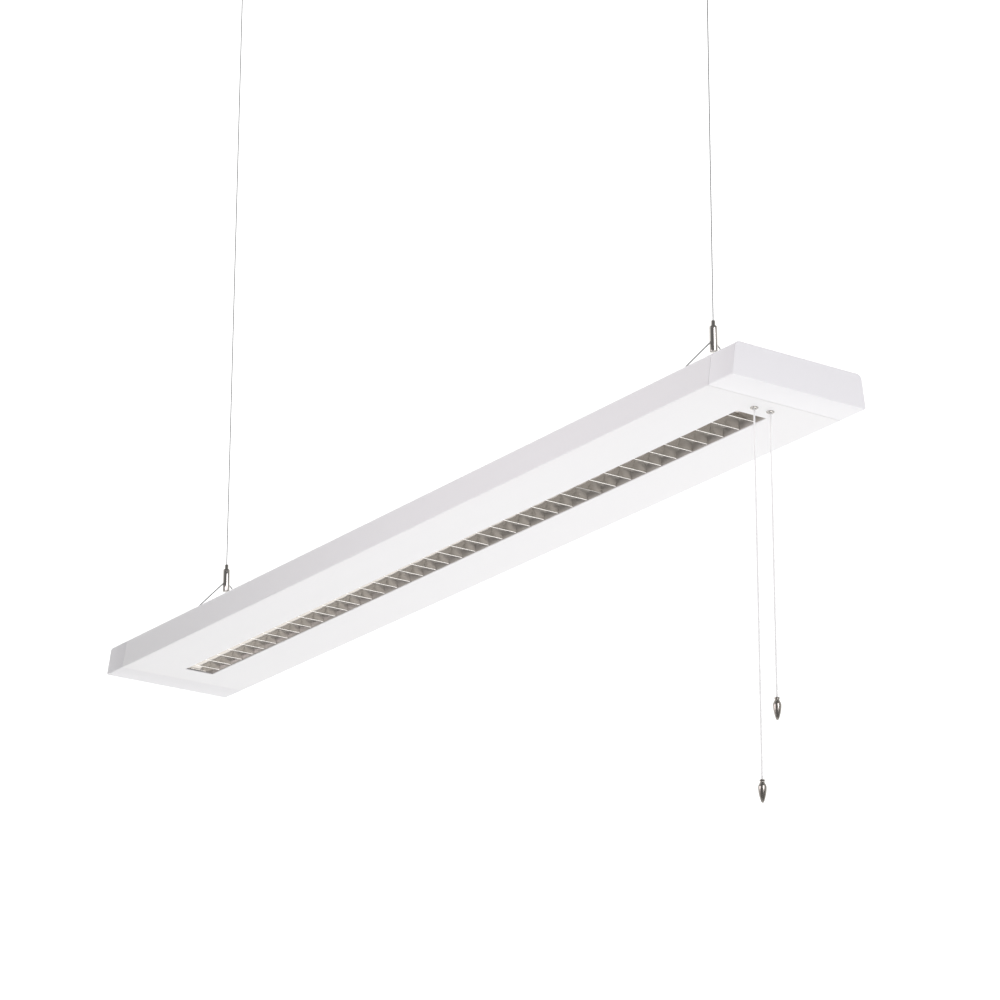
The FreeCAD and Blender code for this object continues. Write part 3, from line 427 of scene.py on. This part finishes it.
def lamp(x, y, z):
    """A point given in mm above the lamp's bottom face, in the row frame in metres."""
    return Vector((x, y, z - DROP)) * MM


def dress(name, mesh, finish, body, replaced, place=(0.0, 0.0, 0.0), sharp=35):
    """Makes the mesh a piece of the model, with its finish, body, slot and the nodes that it stands for."""
    made = bpy.data.objects.new(name, mesh)
    bpy.context.scene.collection.objects.link(made)
    made.location = place
    mesh.materials.clear()
    mesh.materials.append(finish)
    mesh.set_sharp_from_angle(angle=math.radians(sharp))
    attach(made, body)
    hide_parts(*replaced)
    return made


def mesh_from(name, points, faces, weld=1e-7, thin=0.0):
    """A mesh with its faces turned outwards: corners nearer than weld become one, and edges under thin go."""
    mesh = bpy.data.meshes.new(name)
    mesh.from_pydata([tuple(p) for p in points], [], faces)
    work = bmesh.new()
    work.from_mesh(mesh)
    bmesh.ops.remove_doubles(work, verts=work.verts, dist=weld)
    if thin:
        bmesh.ops.dissolve_degenerate(work, edges=work.edges, dist=thin)
    bmesh.ops.recalc_face_normals(work, faces=work.faces)
    work.to_mesh(mesh)
    work.free()
    mesh.shade_smooth()
    return mesh


def join(name, meshes):
    """One mesh from several."""
    work = bmesh.new()
    for mesh in meshes:
        work.from_mesh(mesh)
        bpy.data.meshes.remove(mesh)
    made = bpy.data.meshes.new(name)
    work.to_mesh(made)
    work.free()
    made.shade_smooth()
    return made


def rounded(corners, radii, steps=6):
    """A closed outline with each corner rounded to its radius; a radius of 0 keeps it sharp."""
    outline = []
    count = len(corners)
    for i, radius in enumerate(radii):
        here = Vector(corners[i])
        if radius <= 0:
            outline.append(here)
            continue
        back = (Vector(corners[i - 1]) - here).normalized()
        ahead = (Vector(corners[(i + 1) % count]) - here).normalized()
        half = back.angle(ahead) / 2
        centre = here + (back + ahead).normalized() * (radius / math.sin(half))
        start, end = here + back * radius / math.tan(half), here + ahead * radius / math.tan(half)
        for k in range(steps + 1):
            share = k / steps
            aim = (start - centre).lerp(end - centre, share).normalized()
            outline.append(centre + aim * radius)
    return outline


def section(inset, edge_radius, top_radius):
    """The housing's closed outline, moved in by inset, as (y, z) in mm. Its folds keep a small radius at any
    inset."""
    slant = math.hypot(HEIGHT, SIDE_LEAN) / HEIGHT
    low, high = inset, HEIGHT - inset
    bottom = HALF_WIDTH - SIDE_LEAN * low / HEIGHT - inset * slant
    top = HALF_WIDTH - SIDE_LEAN * high / HEIGHT - inset * slant
    corners = [(-bottom, low), (bottom, low), (top, high), (-top, high)]
    edge, upper = max(edge_radius - inset, 0.25), max(top_radius - inset, 0.5)
    return rounded(corners, [edge, edge, upper, upper], 8)


def shell(rings, closed_ends):
    """A surface through equally long rings of points; closed_ends also fills the first and the last."""
    count = len(rings[0])
    points = [p for ring in rings for p in ring]
    faces = []
    for r in range(len(rings) - 1):
        for i in range(count):
            a, b = r * count + i, r * count + (i + 1) % count
            faces.append((a, b, b + count, a + count))
    if closed_ends:
        faces += [tuple(range(count)), tuple(range(len(points) - count, len(points)))]
    return mesh_from("shell", points, faces)


def bar_between(outline, x0, x1):
    """A (y, z) outline in mm pushed from x0 to x1, as a closed mesh."""
    return shell([[lamp(x, y, z) for y, z in outline] for x in (x0, x1)], True)


def turned(outline, steps=48):
    """A solid of revolution about Z from a closed (radius, z) outline in mm."""
    points, faces = [], []
    count = len(outline)
    for s in range(steps):
        angle = 2 * math.pi * s / steps
        points += [Vector((r * math.cos(angle), r * math.sin(angle), z)) * MM for r, z in outline]
    for s in range(steps):
        for i in range(count):
            a, b = s * count + i, s * count + (i + 1) % count
            c, d = ((s + 1) % steps) * count + (i + 1) % count, ((s + 1) % steps) * count + i
            faces.append((a, b, c, d))
    return mesh_from("turned", points, faces, 1e-8, 1e-8)


def block(x, y, half_x, half_y, low, high):
    """A box about x, y in mm, as cutter or small piece."""
    outline = [(y - half_y, low), (y + half_y, low), (y + half_y, high), (y - half_y, high)]
    return bar_between(outline, x - half_x, x + half_x)


def cut(mesh, cutters):
    """The mesh less the cutters."""
    body = bpy.data.objects.new("cut_body", mesh)
    tool = bpy.data.objects.new("cut_tool", join("cut_tool", cutters))
    for made in (body, tool):
        bpy.context.scene.collection.objects.link(made)
    change = body.modifiers.new("cut", "BOOLEAN")
    change.object, change.operation, change.solver = tool, "DIFFERENCE", "EXACT"
    change.use_self = True
    bpy.context.view_layer.update()
    made = bpy.data.meshes.new_from_object(body.evaluated_get(bpy.context.evaluated_depsgraph_get()))
    for done in (body, tool):
        bpy.data.objects.remove(done)
    made.shade_smooth()
    return made


def tube(path, radius, sides=12):
    """A round tube along a list of points, closed at both ends."""
    points, faces = [], []
    across = None
    for i, here in enumerate(path):
        ahead = (path[min(i + 1, len(path) - 1)] - path[max(i - 1, 0)]).normalized()
        side = ahead.orthogonal() if across is None else across - ahead * across.dot(ahead)
        across = side.normalized()
        over = ahead.cross(across)
        for s in range(sides):
            angle = 2 * math.pi * s / sides
            points.append(here + (across * math.cos(angle) + over * math.sin(angle)) * radius)
    for i in range(len(path) - 1):
        for s in range(sides):
            a, b = i * sides + s, i * sides + (s + 1) % sides
            faces.append((a, b, b + sides, a + sides))
    faces += [tuple(range(sides)), tuple(range(len(points) - sides, len(points)))]
    return mesh_from("tube", points, faces)


def spline(name, points, radius=0.0):
    """A smooth line through its control points, as a NURBS curve."""
    data = bpy.data.curves.new(name, "CURVE")
    data.dimensions = "3D"
    data.resolution_u = 16
    line = data.splines.new("NURBS")
    line.points.add(len(points) - 1)
    for point, place in zip(line.points, points):
        point.co = (*place, 1.0)
    line.order_u = 3
    line.use_endpoint_u = True
    data.bevel_depth = radius
    data.bevel_resolution = 6
    data.use_fill_caps = radius > 0
    made = bpy.data.objects.new(name, data)
    bpy.context.scene.collection.objects.link(made)
    return made


def points_along(points):
    """Points read along the NURBS line through these control points."""
    line = spline("line", points)
    bpy.context.view_layer.update()
    mesh = bpy.data.meshes.new_from_object(line.evaluated_get(bpy.context.evaluated_depsgraph_get()))
    found = [v.co.copy() for v in mesh.vertices]
    bpy.data.meshes.remove(mesh)
    bpy.data.objects.remove(line)
    return found


# ---------------------------------------------------------------- operators


class LAMP_OT_stage(Operator):
    """Camera, pale floor and soft studio light"""

    bl_idname = "workplace_light.stage"
    bl_label = "Stage"

    def execute(self, context):
        settings = context.scene.lamp_stage
        self.add_camera(context, settings)
        self.add_floor(context, settings)
        self.add_room_light(context, settings)
        self.add_lamps(context)
        context.scene.view_settings.view_transform = "Standard"
        return {"FINISHED"}

    def add_camera(self, context, settings):
        data = bpy.data.cameras.new("camera")
        data.lens = settings.lens
        data.sensor_width = 36.0
        data.clip_end = 50.0
        made = bpy.data.objects.new("camera", data)
        context.scene.collection.objects.link(made)
        a, e, r = settings.azimuth, settings.elevation, settings.roll
        back = Vector((math.sin(a) * math.cos(e), -math.cos(a) * math.cos(e), math.sin(e)))
        level = (-back).cross(Vector((0, 0, 1))).normalized()
        upright = level.cross(-back)
        right = level * math.cos(r) + upright * math.sin(r)
        up = upright * math.cos(r) - level * math.sin(r)
        made.matrix_world = Matrix.Translation(CAMERA_PLACE) @ \
            Matrix((right, up, back)).transposed().to_4x4()
        context.scene.camera = made

    def add_floor(self, context, settings):
        corners = [(x * FLOOR_REACH, y * FLOOR_REACH, settings.floor_level)
                   for x, y in ((-1, -1), (1, -1), (1, 1), (-1, 1))]
        mesh = mesh_from("floor", corners, [(0, 1, 2, 3)])
        mesh.materials.append(surface("plain_pale_floor", colour("#EFEFEE"), colour("#EBEBEA"), (0.8, 0.9),
                                      40.0, 0.02))
        floor = bpy.data.objects.new("floor", mesh)
        context.scene.collection.objects.link(floor)

    def add_room_light(self, context, settings):
        """A white room behind the lamp that grows dim towards the camera, which gives the metal its bands."""
        world = bpy.data.worlds.new("room")
        world.use_nodes = True
        tree = world.node_tree
        tree.nodes.clear()
        place = add_node(tree, "ShaderNodeTexCoord").outputs["Generated"]
        toward = add_node(tree, "ShaderNodeVectorMath", {0: place, 1: ROOM_BACK}, operation="DOT_PRODUCT")
        share = add_node(tree, "ShaderNodeMapRange", {"Value": toward.outputs["Value"], "From Min": DIM_AT,
                                                      "From Max": BRIGHT_AT, "To Min": DIM * settings.sky,
                                                      "To Max": BRIGHT * settings.sky})
        light = add_node(tree, "ShaderNodeBackground", {"Color": (1.0, 1.0, 1.0, 1.0),
                                                        "Strength": share.outputs[0]})
        add_node(tree, "ShaderNodeOutputWorld", {"Surface": light.outputs[0]})
        context.scene.world = world

    def add_lamps(self, context):
        """One soft panel under the lamp, one beside its front and one off its near end."""
        for name, wide, deep, power, tone, place, aim in PANELS:
            data = bpy.data.lights.new(name, "AREA")
            data.shape = "RECTANGLE"
            data.size, data.size_y = wide, deep
            data.energy = power
            data.color = colour(tone)[:3]
            made = bpy.data.objects.new(name, data)
            made.location = place
            made.rotation_euler = (Vector(aim) - Vector(place)).to_track_quat("-Z", "Y").to_euler()
            made.visible_camera = False
            context.scene.collection.objects.link(made)


class LAMP_OT_wires(Operator):
    """The two suspension wires, from their ball ends down into the grippers"""

    bl_idname = "workplace_light.wires"
    bl_label = "Suspension wires"

    def execute(self, context):
        sizes = context.scene.lamp_sizes
        top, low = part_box("suspension_wire_left")[1].z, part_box("suspension_wire_left")[0].z
        reach = top - low
        for side, way in SIDES.items():
            x = way * WIRE_X * MM
            heights = [low, low + reach / 3, low + 2 * reach / 3, top]
            path = points_along([(x, 0.0, z) for z in heights])
            own = [p - Vector((x, 0.0, 0.0)) for p in path]
            piece = dress("suspension_wire_dressed_" + side, tube(own, sizes.wire_diameter / 2),
                          stranded_wire(), "wire_" + side, ["suspension_wire_" + side],
                          (x, 0.0, 0.0))
            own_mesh(piece)
        return {"FINISHED"}


class LAMP_OT_cords(Operator):
    """The two pull cords, from the switches down to their weights"""

    bl_idname = "workplace_light.cords"
    bl_label = "Pull cords"

    def execute(self, context):
        sizes = context.scene.lamp_sizes
        for name, way in WAYS.items():
            x, y = PULL_X * MM, way * PULL_Y * MM
            low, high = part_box("pull_cord_" + name)[0].z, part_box("pull_cord_" + name)[1].z
            heights = [high, high + (low - high) / 3, high + 2 * (low - high) / 3, low]
            cord = spline("pull_cord_dressed_" + name, [(0.0, 0.0, z) for z in heights],
                          sizes.cord_diameter / 2)
            cord.location = (x, y, 0.0)
            cord.data.materials.append(braided_cord())
            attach(cord, "pull_" + name)
            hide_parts("pull_cord_" + name)
        return {"FINISHED"}


class LAMP_OT_knobs(Operator):
    """The bullet-shaped weights on the pull cords"""

    bl_idname = "workplace_light.knobs"
    bl_label = "Cord weights"

    def execute(self, context):
        wide = context.scene.lamp_sizes.knob_radius / MM
        outline = [(0, -3.0), (1.06, -3.0), (1.06, -0.1), (1.25, 0.0), (2.72, 0.0), (2.9, -0.2), (2.86, -0.7),
                   (2.5, -1.7), (2.42, -2.3), (2.6, -2.9), (3.3, -4.2), (4.0, -5.6), (wide - 0.1, -7.0),
                   (wide, -8.2), (wide - 0.08, -10.0), (wide - 0.35, -12.5), (3.75, -15.0), (3.2, -17.5),
                   (2.5, -20.0), (1.9, -21.8), (1.3, -23.1), (0.7, -23.8), (0, -24.0)]
        for name, way in WAYS.items():
            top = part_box("cord_knob_" + name)[1].z
            dress("cord_weight_" + name, turned(outline, 48), satin_nickel(), "pull_" + name,
                  ["cord_knob_" + name], (PULL_X * MM, way * PULL_Y * MM, top), 28)
        return {"FINISHED"}


class LAMP_OT_bushes(Operator):
    """The nickel rings under the housing that the pull cords run through"""

    bl_idname = "workplace_light.bushes"
    bl_label = "Cord bushes"

    def execute(self, context):
        outline = [(1.6, 0.0), (4.4, 0.0), (4.4, -0.7), (4.3, -1.0), (4.05, -1.25), (3.7, -1.42),
                   (3.2, -BUSH_DEPTH), (2.3, -BUSH_DEPTH), (1.95, -1.42), (1.7, -1.2), (1.6, -0.9)]
        for name, way in WAYS.items():
            dress("cord_bush_dressed_" + name, turned(outline), polished_nickel(), "lamp",
                  ["cord_bush_" + name], (PULL_X * MM, way * PULL_Y * MM, -DROP * MM), 40)
        return {"FINISHED"}


class LAMP_OT_housing(Operator):
    """The folded steel housing with its opening, keyholes and slots"""

    bl_idname = "workplace_light.housing"
    bl_label = "Housing"

    def execute(self, context):
        sizes = context.scene.lamp_sizes
        edge, top = sizes.edge_radius / MM, sizes.top_radius / MM
        outer = section(0.0, edge, top)
        inner = section(SHEET, edge, top)
        half = len(outer) // 4
        ring = outer[-half:] + outer[:-half]  # starts with the top left fold
        ring_in = inner[-half:] + inner[:-half]
        outline = [Vector((-FLANGE_EDGE, HEIGHT))] + ring + [Vector((FLANGE_EDGE, HEIGHT))] + \
            [Vector((FLANGE_EDGE, HEIGHT - SHEET))] + ring_in[::-1] + [Vector((-FLANGE_EDGE, HEIGHT - SHEET))]
        sheet = bar_between(outline, -HOUSING_END, HOUSING_END)
        cutters = [block(0, 0, OPENING_HALF, OPENING_WIDTH / 2, -1, 2)]
        for way in (-1, 1):
            hole = turned([(0, -1), (3.7, -1), (3.7, 2), (0, 2)], 40)
            hole.transform(Matrix.Translation(lamp(PULL_X, way * PULL_Y, 0)))
            cutters.append(hole)
            for side in (-1, 1):
                cutters += [block(side * x, way * y, half_x, half_y, SLOT_LOW, SLOT_HIGH)
                            for x, y, half_x, half_y in TOP_SLOTS]
        dress("housing_dressed", cut(sheet, cutters), sprayed_steel(), "lamp", ["housing"])
        return {"FINISHED"}


class LAMP_OT_end_caps(Operator):
    """The two moulded end caps with their spigots and snap barbs"""

    bl_idname = "workplace_light.end_caps"
    bl_label = "End caps"

    def execute(self, context):
        sizes = context.scene.lamp_sizes
        edge, top, soft = sizes.edge_radius / MM, sizes.top_radius / MM, sizes.cap_rounding / MM
        end = HALF_LENGTH
        for side, way in SIDES.items():
            rings = [self.ring(way * x, inset, edge, top) for x, inset in (
                (end - PLUG_END, PLUG_INSET), (CAP_START, PLUG_INSET), (CAP_START, 0.35),
                (CAP_START + 0.1, 0.1), (CAP_START + 0.35, 0.0))]
            for k in range(7):
                turn = math.pi / 2 * k / 6
                rings.append(self.ring(way * (end - soft + soft * math.sin(turn)),
                                       soft * (1 - math.cos(turn)), edge + soft * 0.5, top))
            near, far = way * (CAP_START + COLLAR_FROM), way * (CAP_START + COLLAR_TO)
            collar = [self.ring(x, inset, edge, top) for x, inset in (
                (near, COLLAR_OUT), (far, COLLAR_OUT), (far, COLLAR_IN), (near, COLLAR_IN))]
            shape = [shell(rings, True), shell(collar + collar[:1], False)]
            for back in (-1, 1):
                points = [lamp(way * x, back * BARB_Y + dy, z) for dy in (-BARB_HALF, BARB_HALF)
                          for x, z in BARB]
                faces = [(0, 1, 2, 3), (4, 5, 6, 7), (0, 1, 5, 4), (1, 2, 6, 5), (2, 3, 7, 6), (3, 0, 4, 7)]
                shape.append(mesh_from("barb", points, faces))
            dress("end_cap_dressed_" + side, join("end_cap", shape), moulded_white(), "lamp",
                  ["end_cap_" + side])
        return {"FINISHED"}

    def ring(self, x, inset, edge, top):
        """The housing's outline at x, moved in by inset."""
        return [lamp(x, y, z) for y, z in section(inset, edge, top)]


def wall_at(z):
    """How far the reflector's inner face stands from the middle at height z."""
    (y0, z0), (y1, z1), (y2, z2) = REFLECTOR
    if z < z1:
        return y0 + (y1 - y0) * (z - z0) / (z1 - z0)
    return y1 + (y2 - y1) * (z - z1) / (z2 - z1)


def blade_places(count):
    """Where the blades stand along the lamp, in mm from its middle."""
    return [(i - (count - 1) / 2) * BLADE_PITCH for i in range(count)]


class LAMP_OT_louvre(Operator):
    """The louvre's blades, its two slitted reflectors and its end plates"""

    bl_idname = "workplace_light.louvre"
    bl_label = "Louvre"

    def execute(self, context):
        sizes = context.scene.lamp_sizes
        self.add_blades(sizes)
        for name, way in WAYS.items():
            self.add_reflector(sizes, name, way)
        self.add_ends(sizes)
        return {"FINISHED"}

    def add_blades(self, sizes):
        thick, bow = sizes.reflector_sheet / MM, sizes.blade_bow / MM
        low, top, edge, wide = 1.3, 15.3, 0.6, 4.5  # heights of the fold and the top, fold radius, half width
        right = []
        steps = 14
        for k in range(steps + 1):
            share = k / steps
            x = edge + (wide - edge) * share - 4 * bow * share * (1 - share)
            right.append((x, low + edge * 0.7 + (top - low - edge * 0.7) * share))
        nose = [(edge * math.sin(a), low + edge - edge * math.cos(a)) for a in
                [math.radians(d) for d in (-60, -35, 0, 35, 60)]]
        outer = [(-x, z) for x, z in right[::-1]] + nose + right
        inner = self.inward(outer, thick * 0.9)
        outline = outer + inner[::-1]
        blade = []
        count = len(outline)
        for x0 in blade_places(sizes.blade_count):
            points = [lamp(x0 + x, way * (wall_at(z) - PLATE_GAP), z) for way in (-1, 1) for x, z in outline]
            faces = [(i, (i + 1) % count, count + (i + 1) % count, count + i) for i in range(count)]
            half = len(outer)
            for base in (0, count):
                faces += [(base + i, base + i + 1, base + count - 2 - i, base + count - 1 - i)
                          for i in range(half - 1)]
            blade.append(mesh_from("blade", points, faces))
            for way in (-1, 1):
                inside, outside = wall_at((TAB_LOW + TAB_HIGH) / 2) - 2.0, 21.6
                blade.append(block(x0, way * (inside + outside) / 2, 0.5, (outside - inside) / 2,
                                   TAB_LOW, TAB_HIGH))
        dress("louvre_blades_dressed", join("blades", blade), mirror_aluminium(), "lamp",
              ["louvre_blades"], sharp=30)

    def inward(self, line, thick):
        """The same open line, moved in by the sheet's thickness."""
        moved = []
        for i, here in enumerate(line):
            ahead = Vector(line[min(i + 1, len(line) - 1)]) - Vector(line[max(i - 1, 0)])
            normal = Vector((-ahead.y, ahead.x)).normalized()
            point = Vector(here) + normal * thick
            if (point.x > 0) != (here[0] > 0) or here[0] == 0:
                point.x = 0.02 if here[0] > 0 else -0.02 if here[0] < 0 else 0.0
            moved.append((point.x, max(point.y, here[1])))
        return moved

    def add_reflector(self, sizes, name, way):
        thick = sizes.reflector_sheet / MM
        knee = [(18.42, 9.0), (18.2, 9.9), (17.97, 10.6), (17.65, 11.45), (17.1, 12.55)]
        slit_heights = (TAB_LOW - 0.2, TAB_HIGH + 0.2)
        inner = [REFLECTOR[0]] + [(wall_at(z), z) for z in slit_heights] + knee + [REFLECTOR[-1]]
        outer = [(y + thick, z) for y, z in inner]
        outer[0] = (inner[0][0] + thick, LOUVRE_LOW + thick)
        half, slit = OPENING_HALF, 0.7
        stations = [-half]
        for x in blade_places(sizes.blade_count):
            stations += [x - slit, x + slit]
        stations.append(half)
        rows = len(inner)
        points = [lamp(x, way * y, z) for x in stations for line in (inner, outer) for y, z in line]
        faces = []
        for s in range(len(stations) - 1):
            a, b = s * 2 * rows, (s + 1) * 2 * rows
            slotted = s % 2 == 1
            for r in range(rows - 1):
                if slotted and r == 1:
                    faces += [(a + 1, b + 1, b + rows + 1, a + rows + 1),
                              (a + 2, b + 2, b + rows + 2, a + rows + 2)]
                    continue
                faces += [(a + r, a + r + 1, b + r + 1, b + r),
                          (a + rows + r, a + rows + r + 1, b + rows + r + 1, b + rows + r)]
            if slotted:
                faces += [(c + 1, c + 2, c + rows + 2, c + rows + 1) for c in (a, b)]
            faces += [(a + r, b + r, b + rows + r, a + rows + r) for r in (0, rows - 1)]
        for base in (0, (len(stations) - 1) * 2 * rows):
            faces += [(base + r, base + r + 1, base + rows + r + 1, base + rows + r) for r in range(rows - 1)]
        flange = bar_between([(way * 20.6, 1.0), (way * 23.1, 1.0), (way * 23.1, 1.5), (way * 20.6, 1.5)],
                             -half, half)
        mesh = join("reflector", [mesh_from("wall", points, faces), flange])
        dress("louvre_side_dressed_" + name, mesh, satin_aluminium(), "lamp",
              ["louvre_side_" + name])

    def add_ends(self, sizes):
        thick = sizes.reflector_sheet / MM
        parts = []
        for way in (-1, 1):
            rings = []
            for z in (LOUVRE_LOW, 4.0, 7.0, 9.5, 11.0, 12.5, 15.0, 18.0, LOUVRE_HIGH):
                x = way * (OPENING_HALF - 4.0 * (z - LOUVRE_LOW) / (LOUVRE_HIGH - LOUVRE_LOW))
                y = wall_at(z) - PLATE_GAP
                rings.append([lamp(x, -y, z), lamp(x, y, z), lamp(x - way * thick, y, z),
                              lamp(x - way * thick, -y, z)])
            parts.append(shell(rings, True))
            parts.append(block(way * (OPENING_HALF + 1.25), 0, 1.75, 19.95, LOUVRE_LOW, 1.5))
        dress("louvre_ends_dressed", join("ends", parts), mirror_aluminium(), "lamp",
              ["louvre_ends"])


class LAMP_OT_grippers(Operator):
    """The wire grippers and their push-in plungers"""

    bl_idname = "workplace_light.grippers"
    bl_label = "Wire grippers"

    def execute(self, context):
        low, high = GRIPPER_LOW - DROP, GRIPPER_HIGH - DROP
        body = [(0, low), (4.1, low), (4.38, low + 0.12), (4.5, low + 0.4), (4.5, high - 3.1),
                (4.38, high - 2.95), (4.38, high - 2.75), (4.5, high - 2.6), (4.5, high - 0.5),
                (4.35, high - 0.15), (4.0, high), (2.75, high), (2.55, high - 0.2), (2.55, high - 4.5),
                (1.9, high - 4.5), (2.8, high - 11.0), (2.8, high - 14.7), (0, high - 14.7)]
        plunger = [(0.75, high - 10.5), (1.75, high - 10.5), (1.75, high - 2.0), (2.5, high - 2.0),
                   (2.5, high + 6.0), (2.38, high + 6.35), (2.1, high + PLUNGER_OUT),
                   (1.0, high + PLUNGER_OUT), (0.75, high + 6.3)]
        for side, way in SIDES.items():
            x = way * WIRE_X * MM
            hole = tube([p - Vector((x, 0, 0)) for p in self.sling_line(x)], 1.05 * MM, 20)
            shape = cut(turned(body, 64), [hole])
            dress("gripper_body_dressed_" + side, shape, polished_nickel(), "gripper_" + side,
                  ["gripper_body_" + side], (x, 0, 0))
            dress("gripper_plunger_dressed_" + side, turned(plunger, 40), polished_nickel(),
                  "plunger_" + side, ["gripper_plunger_" + side], (x, 0, 0))
            radius = context.scene.lamp_sizes.sling_diameter / 2
            sling = tube([p - Vector((x, 0, 0)) for p in self.sling_line(x)], radius, 14)
            dress("sling_dressed_" + side, sling, stranded_wire(), "gripper_" + side,
                  ["sling_" + side], (x, 0, 0))
        return {"FINISHED"}

    def sling_line(self, x):
        """The sling's centre line: down one leg, through the gripper and up the other."""
        end_y, end_z = FOOT_Y - 1.705, FOOT_Z + 1.83
        peak = SLING_APEX
        near = 4.0
        slope = (peak - end_z) / end_y
        corners = [(-end_y, end_z), (-near * 2, peak - 2 * near * slope),
                   (-near * 0.35, peak - near * 0.55 * slope), (near * 0.35, peak - near * 0.55 * slope),
                   (near * 2, peak - 2 * near * slope), (end_y, end_z)]
        return points_along([tuple(lamp(x / MM, y, z)) for y, z in corners])


class LAMP_OT_ceiling(Operator):
    """The caps of the ceiling fittings"""

    bl_idname = "workplace_light.ceiling"
    bl_label = "Ceiling fittings"

    def execute(self, context):
        cup = [(1.9, -19.22), (1.9, -21.2), (2.5, -23.9), (2.6, -24.0), (8.2, -24.0), (8.75, -23.8),
               (9.0, -23.3), (9.0, -3.0), (8.8, -2.5), (6.05, -2.5), (6.05, -19.22)]
        parts = []
        for way in (-1, 1):
            cap = turned(cup, 64)
            cap.transform(Matrix.Translation((way * WIRE_X * MM, 0, 0)))
            parts.append(cap)
        dress("ceiling_caps_dressed", join("caps", parts), polished_nickel(), "ceiling",
              ["ceiling_caps"])
        return {"FINISHED"}


class LAMP_OT_springs(Operator):
    """The coil springs that the plungers and the pull bars press together"""

    bl_idname = "workplace_light.springs"
    bl_label = "Coil springs"

    def execute(self, context):
        for side in SIDES:
            self.add_spring("gripper_spring_" + side, "gripper_" + side, "plunger_" + side, *GRIPPER_SPRING)
        for way in WAYS:
            self.add_spring("pull_spring_" + way, "lamp", "pull_" + way, *PULL_SPRING)
        return {"FINISHED"}

    def add_spring(self, node, body, joint, wire, turns):
        low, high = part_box(node)
        centre = (low + high) / 2
        radius = (high.x - low.x - wire * MM) / 2
        start, end = low.z + wire * MM / 2, high.z - wire * MM / 2
        steps = turns * TURN_STEPS
        path = []
        for k in range(steps + 1):
            angle, share = 2 * math.pi * k / TURN_STEPS, k / steps
            path.append(Vector((radius * math.cos(angle), radius * math.sin(angle),
                                start + (end - start) * share)))
        piece = dress(node + "_dressed", tube(path, wire * MM / 2, 10), spring_steel(), body,
                      [node], (centre.x, centre.y, 0.0))
        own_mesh(piece)


class LAMP_OT_inside(Operator):
    """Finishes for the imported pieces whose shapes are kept"""

    bl_idname = "workplace_light.inside"
    bl_label = "Kept pieces"

    def execute(self, context):
        for node, made in NODES.items():
            if made.hide_render:
                continue
            if node not in CARRIED_OVER:
                raise RuntimeError("no finish for " + node)
            made.data.materials.clear()
            made.data.materials.append(CARRIED_OVER[node]())
        return {"FINISHED"}


# in the order in which they run: the cords need the weights that hang on them
OPERATORS = (LAMP_OT_stage, LAMP_OT_wires, LAMP_OT_knobs, LAMP_OT_cords, LAMP_OT_bushes, LAMP_OT_housing,
             LAMP_OT_end_caps, LAMP_OT_louvre, LAMP_OT_grippers, LAMP_OT_springs, LAMP_OT_ceiling,
             LAMP_OT_inside)


class LAMP_PT_sidebar(Panel):
    """Lists the lamp's pieces and the values that a user may change"""

    bl_idname = "LAMP_PT_sidebar"
    bl_label = "Workplace light"
    bl_space_type = "VIEW_3D"
    bl_region_type = "UI"
    bl_category = "Workplace light"

    def draw(self, context):
        for group in (context.scene.lamp_sizes, context.scene.lamp_colours, context.scene.lamp_stage):
            column = self.layout.column(align=True)
            for key in group.bl_rna.properties.keys():
                if key not in ("rna_type", "name"):
                    column.prop(group, key)
        for made in OPERATORS:
            self.layout.operator(made.bl_idname)


CLASSES = (LampSizes, LampColours, StageSettings) + OPERATORS + (LAMP_PT_sidebar,)


def register():
    for made in CLASSES:
        bpy.utils.register_class(made)
    bpy.types.Scene.lamp_sizes = PointerProperty(type=LampSizes)
    bpy.types.Scene.lamp_colours = PointerProperty(type=LampColours)
    bpy.types.Scene.lamp_stage = PointerProperty(type=StageSettings)


def unregister():
    for key in ("lamp_sizes", "lamp_colours", "lamp_stage"):
        delattr(bpy.types.Scene, key)
    for made in reversed(CLASSES):
        bpy.utils.unregister_class(made)


def main():
    register()
    for made in OPERATORS:
        getattr(bpy.ops.workplace_light, made.bl_idname.split(".")[1])()


if __name__ == "__main__":
    main()
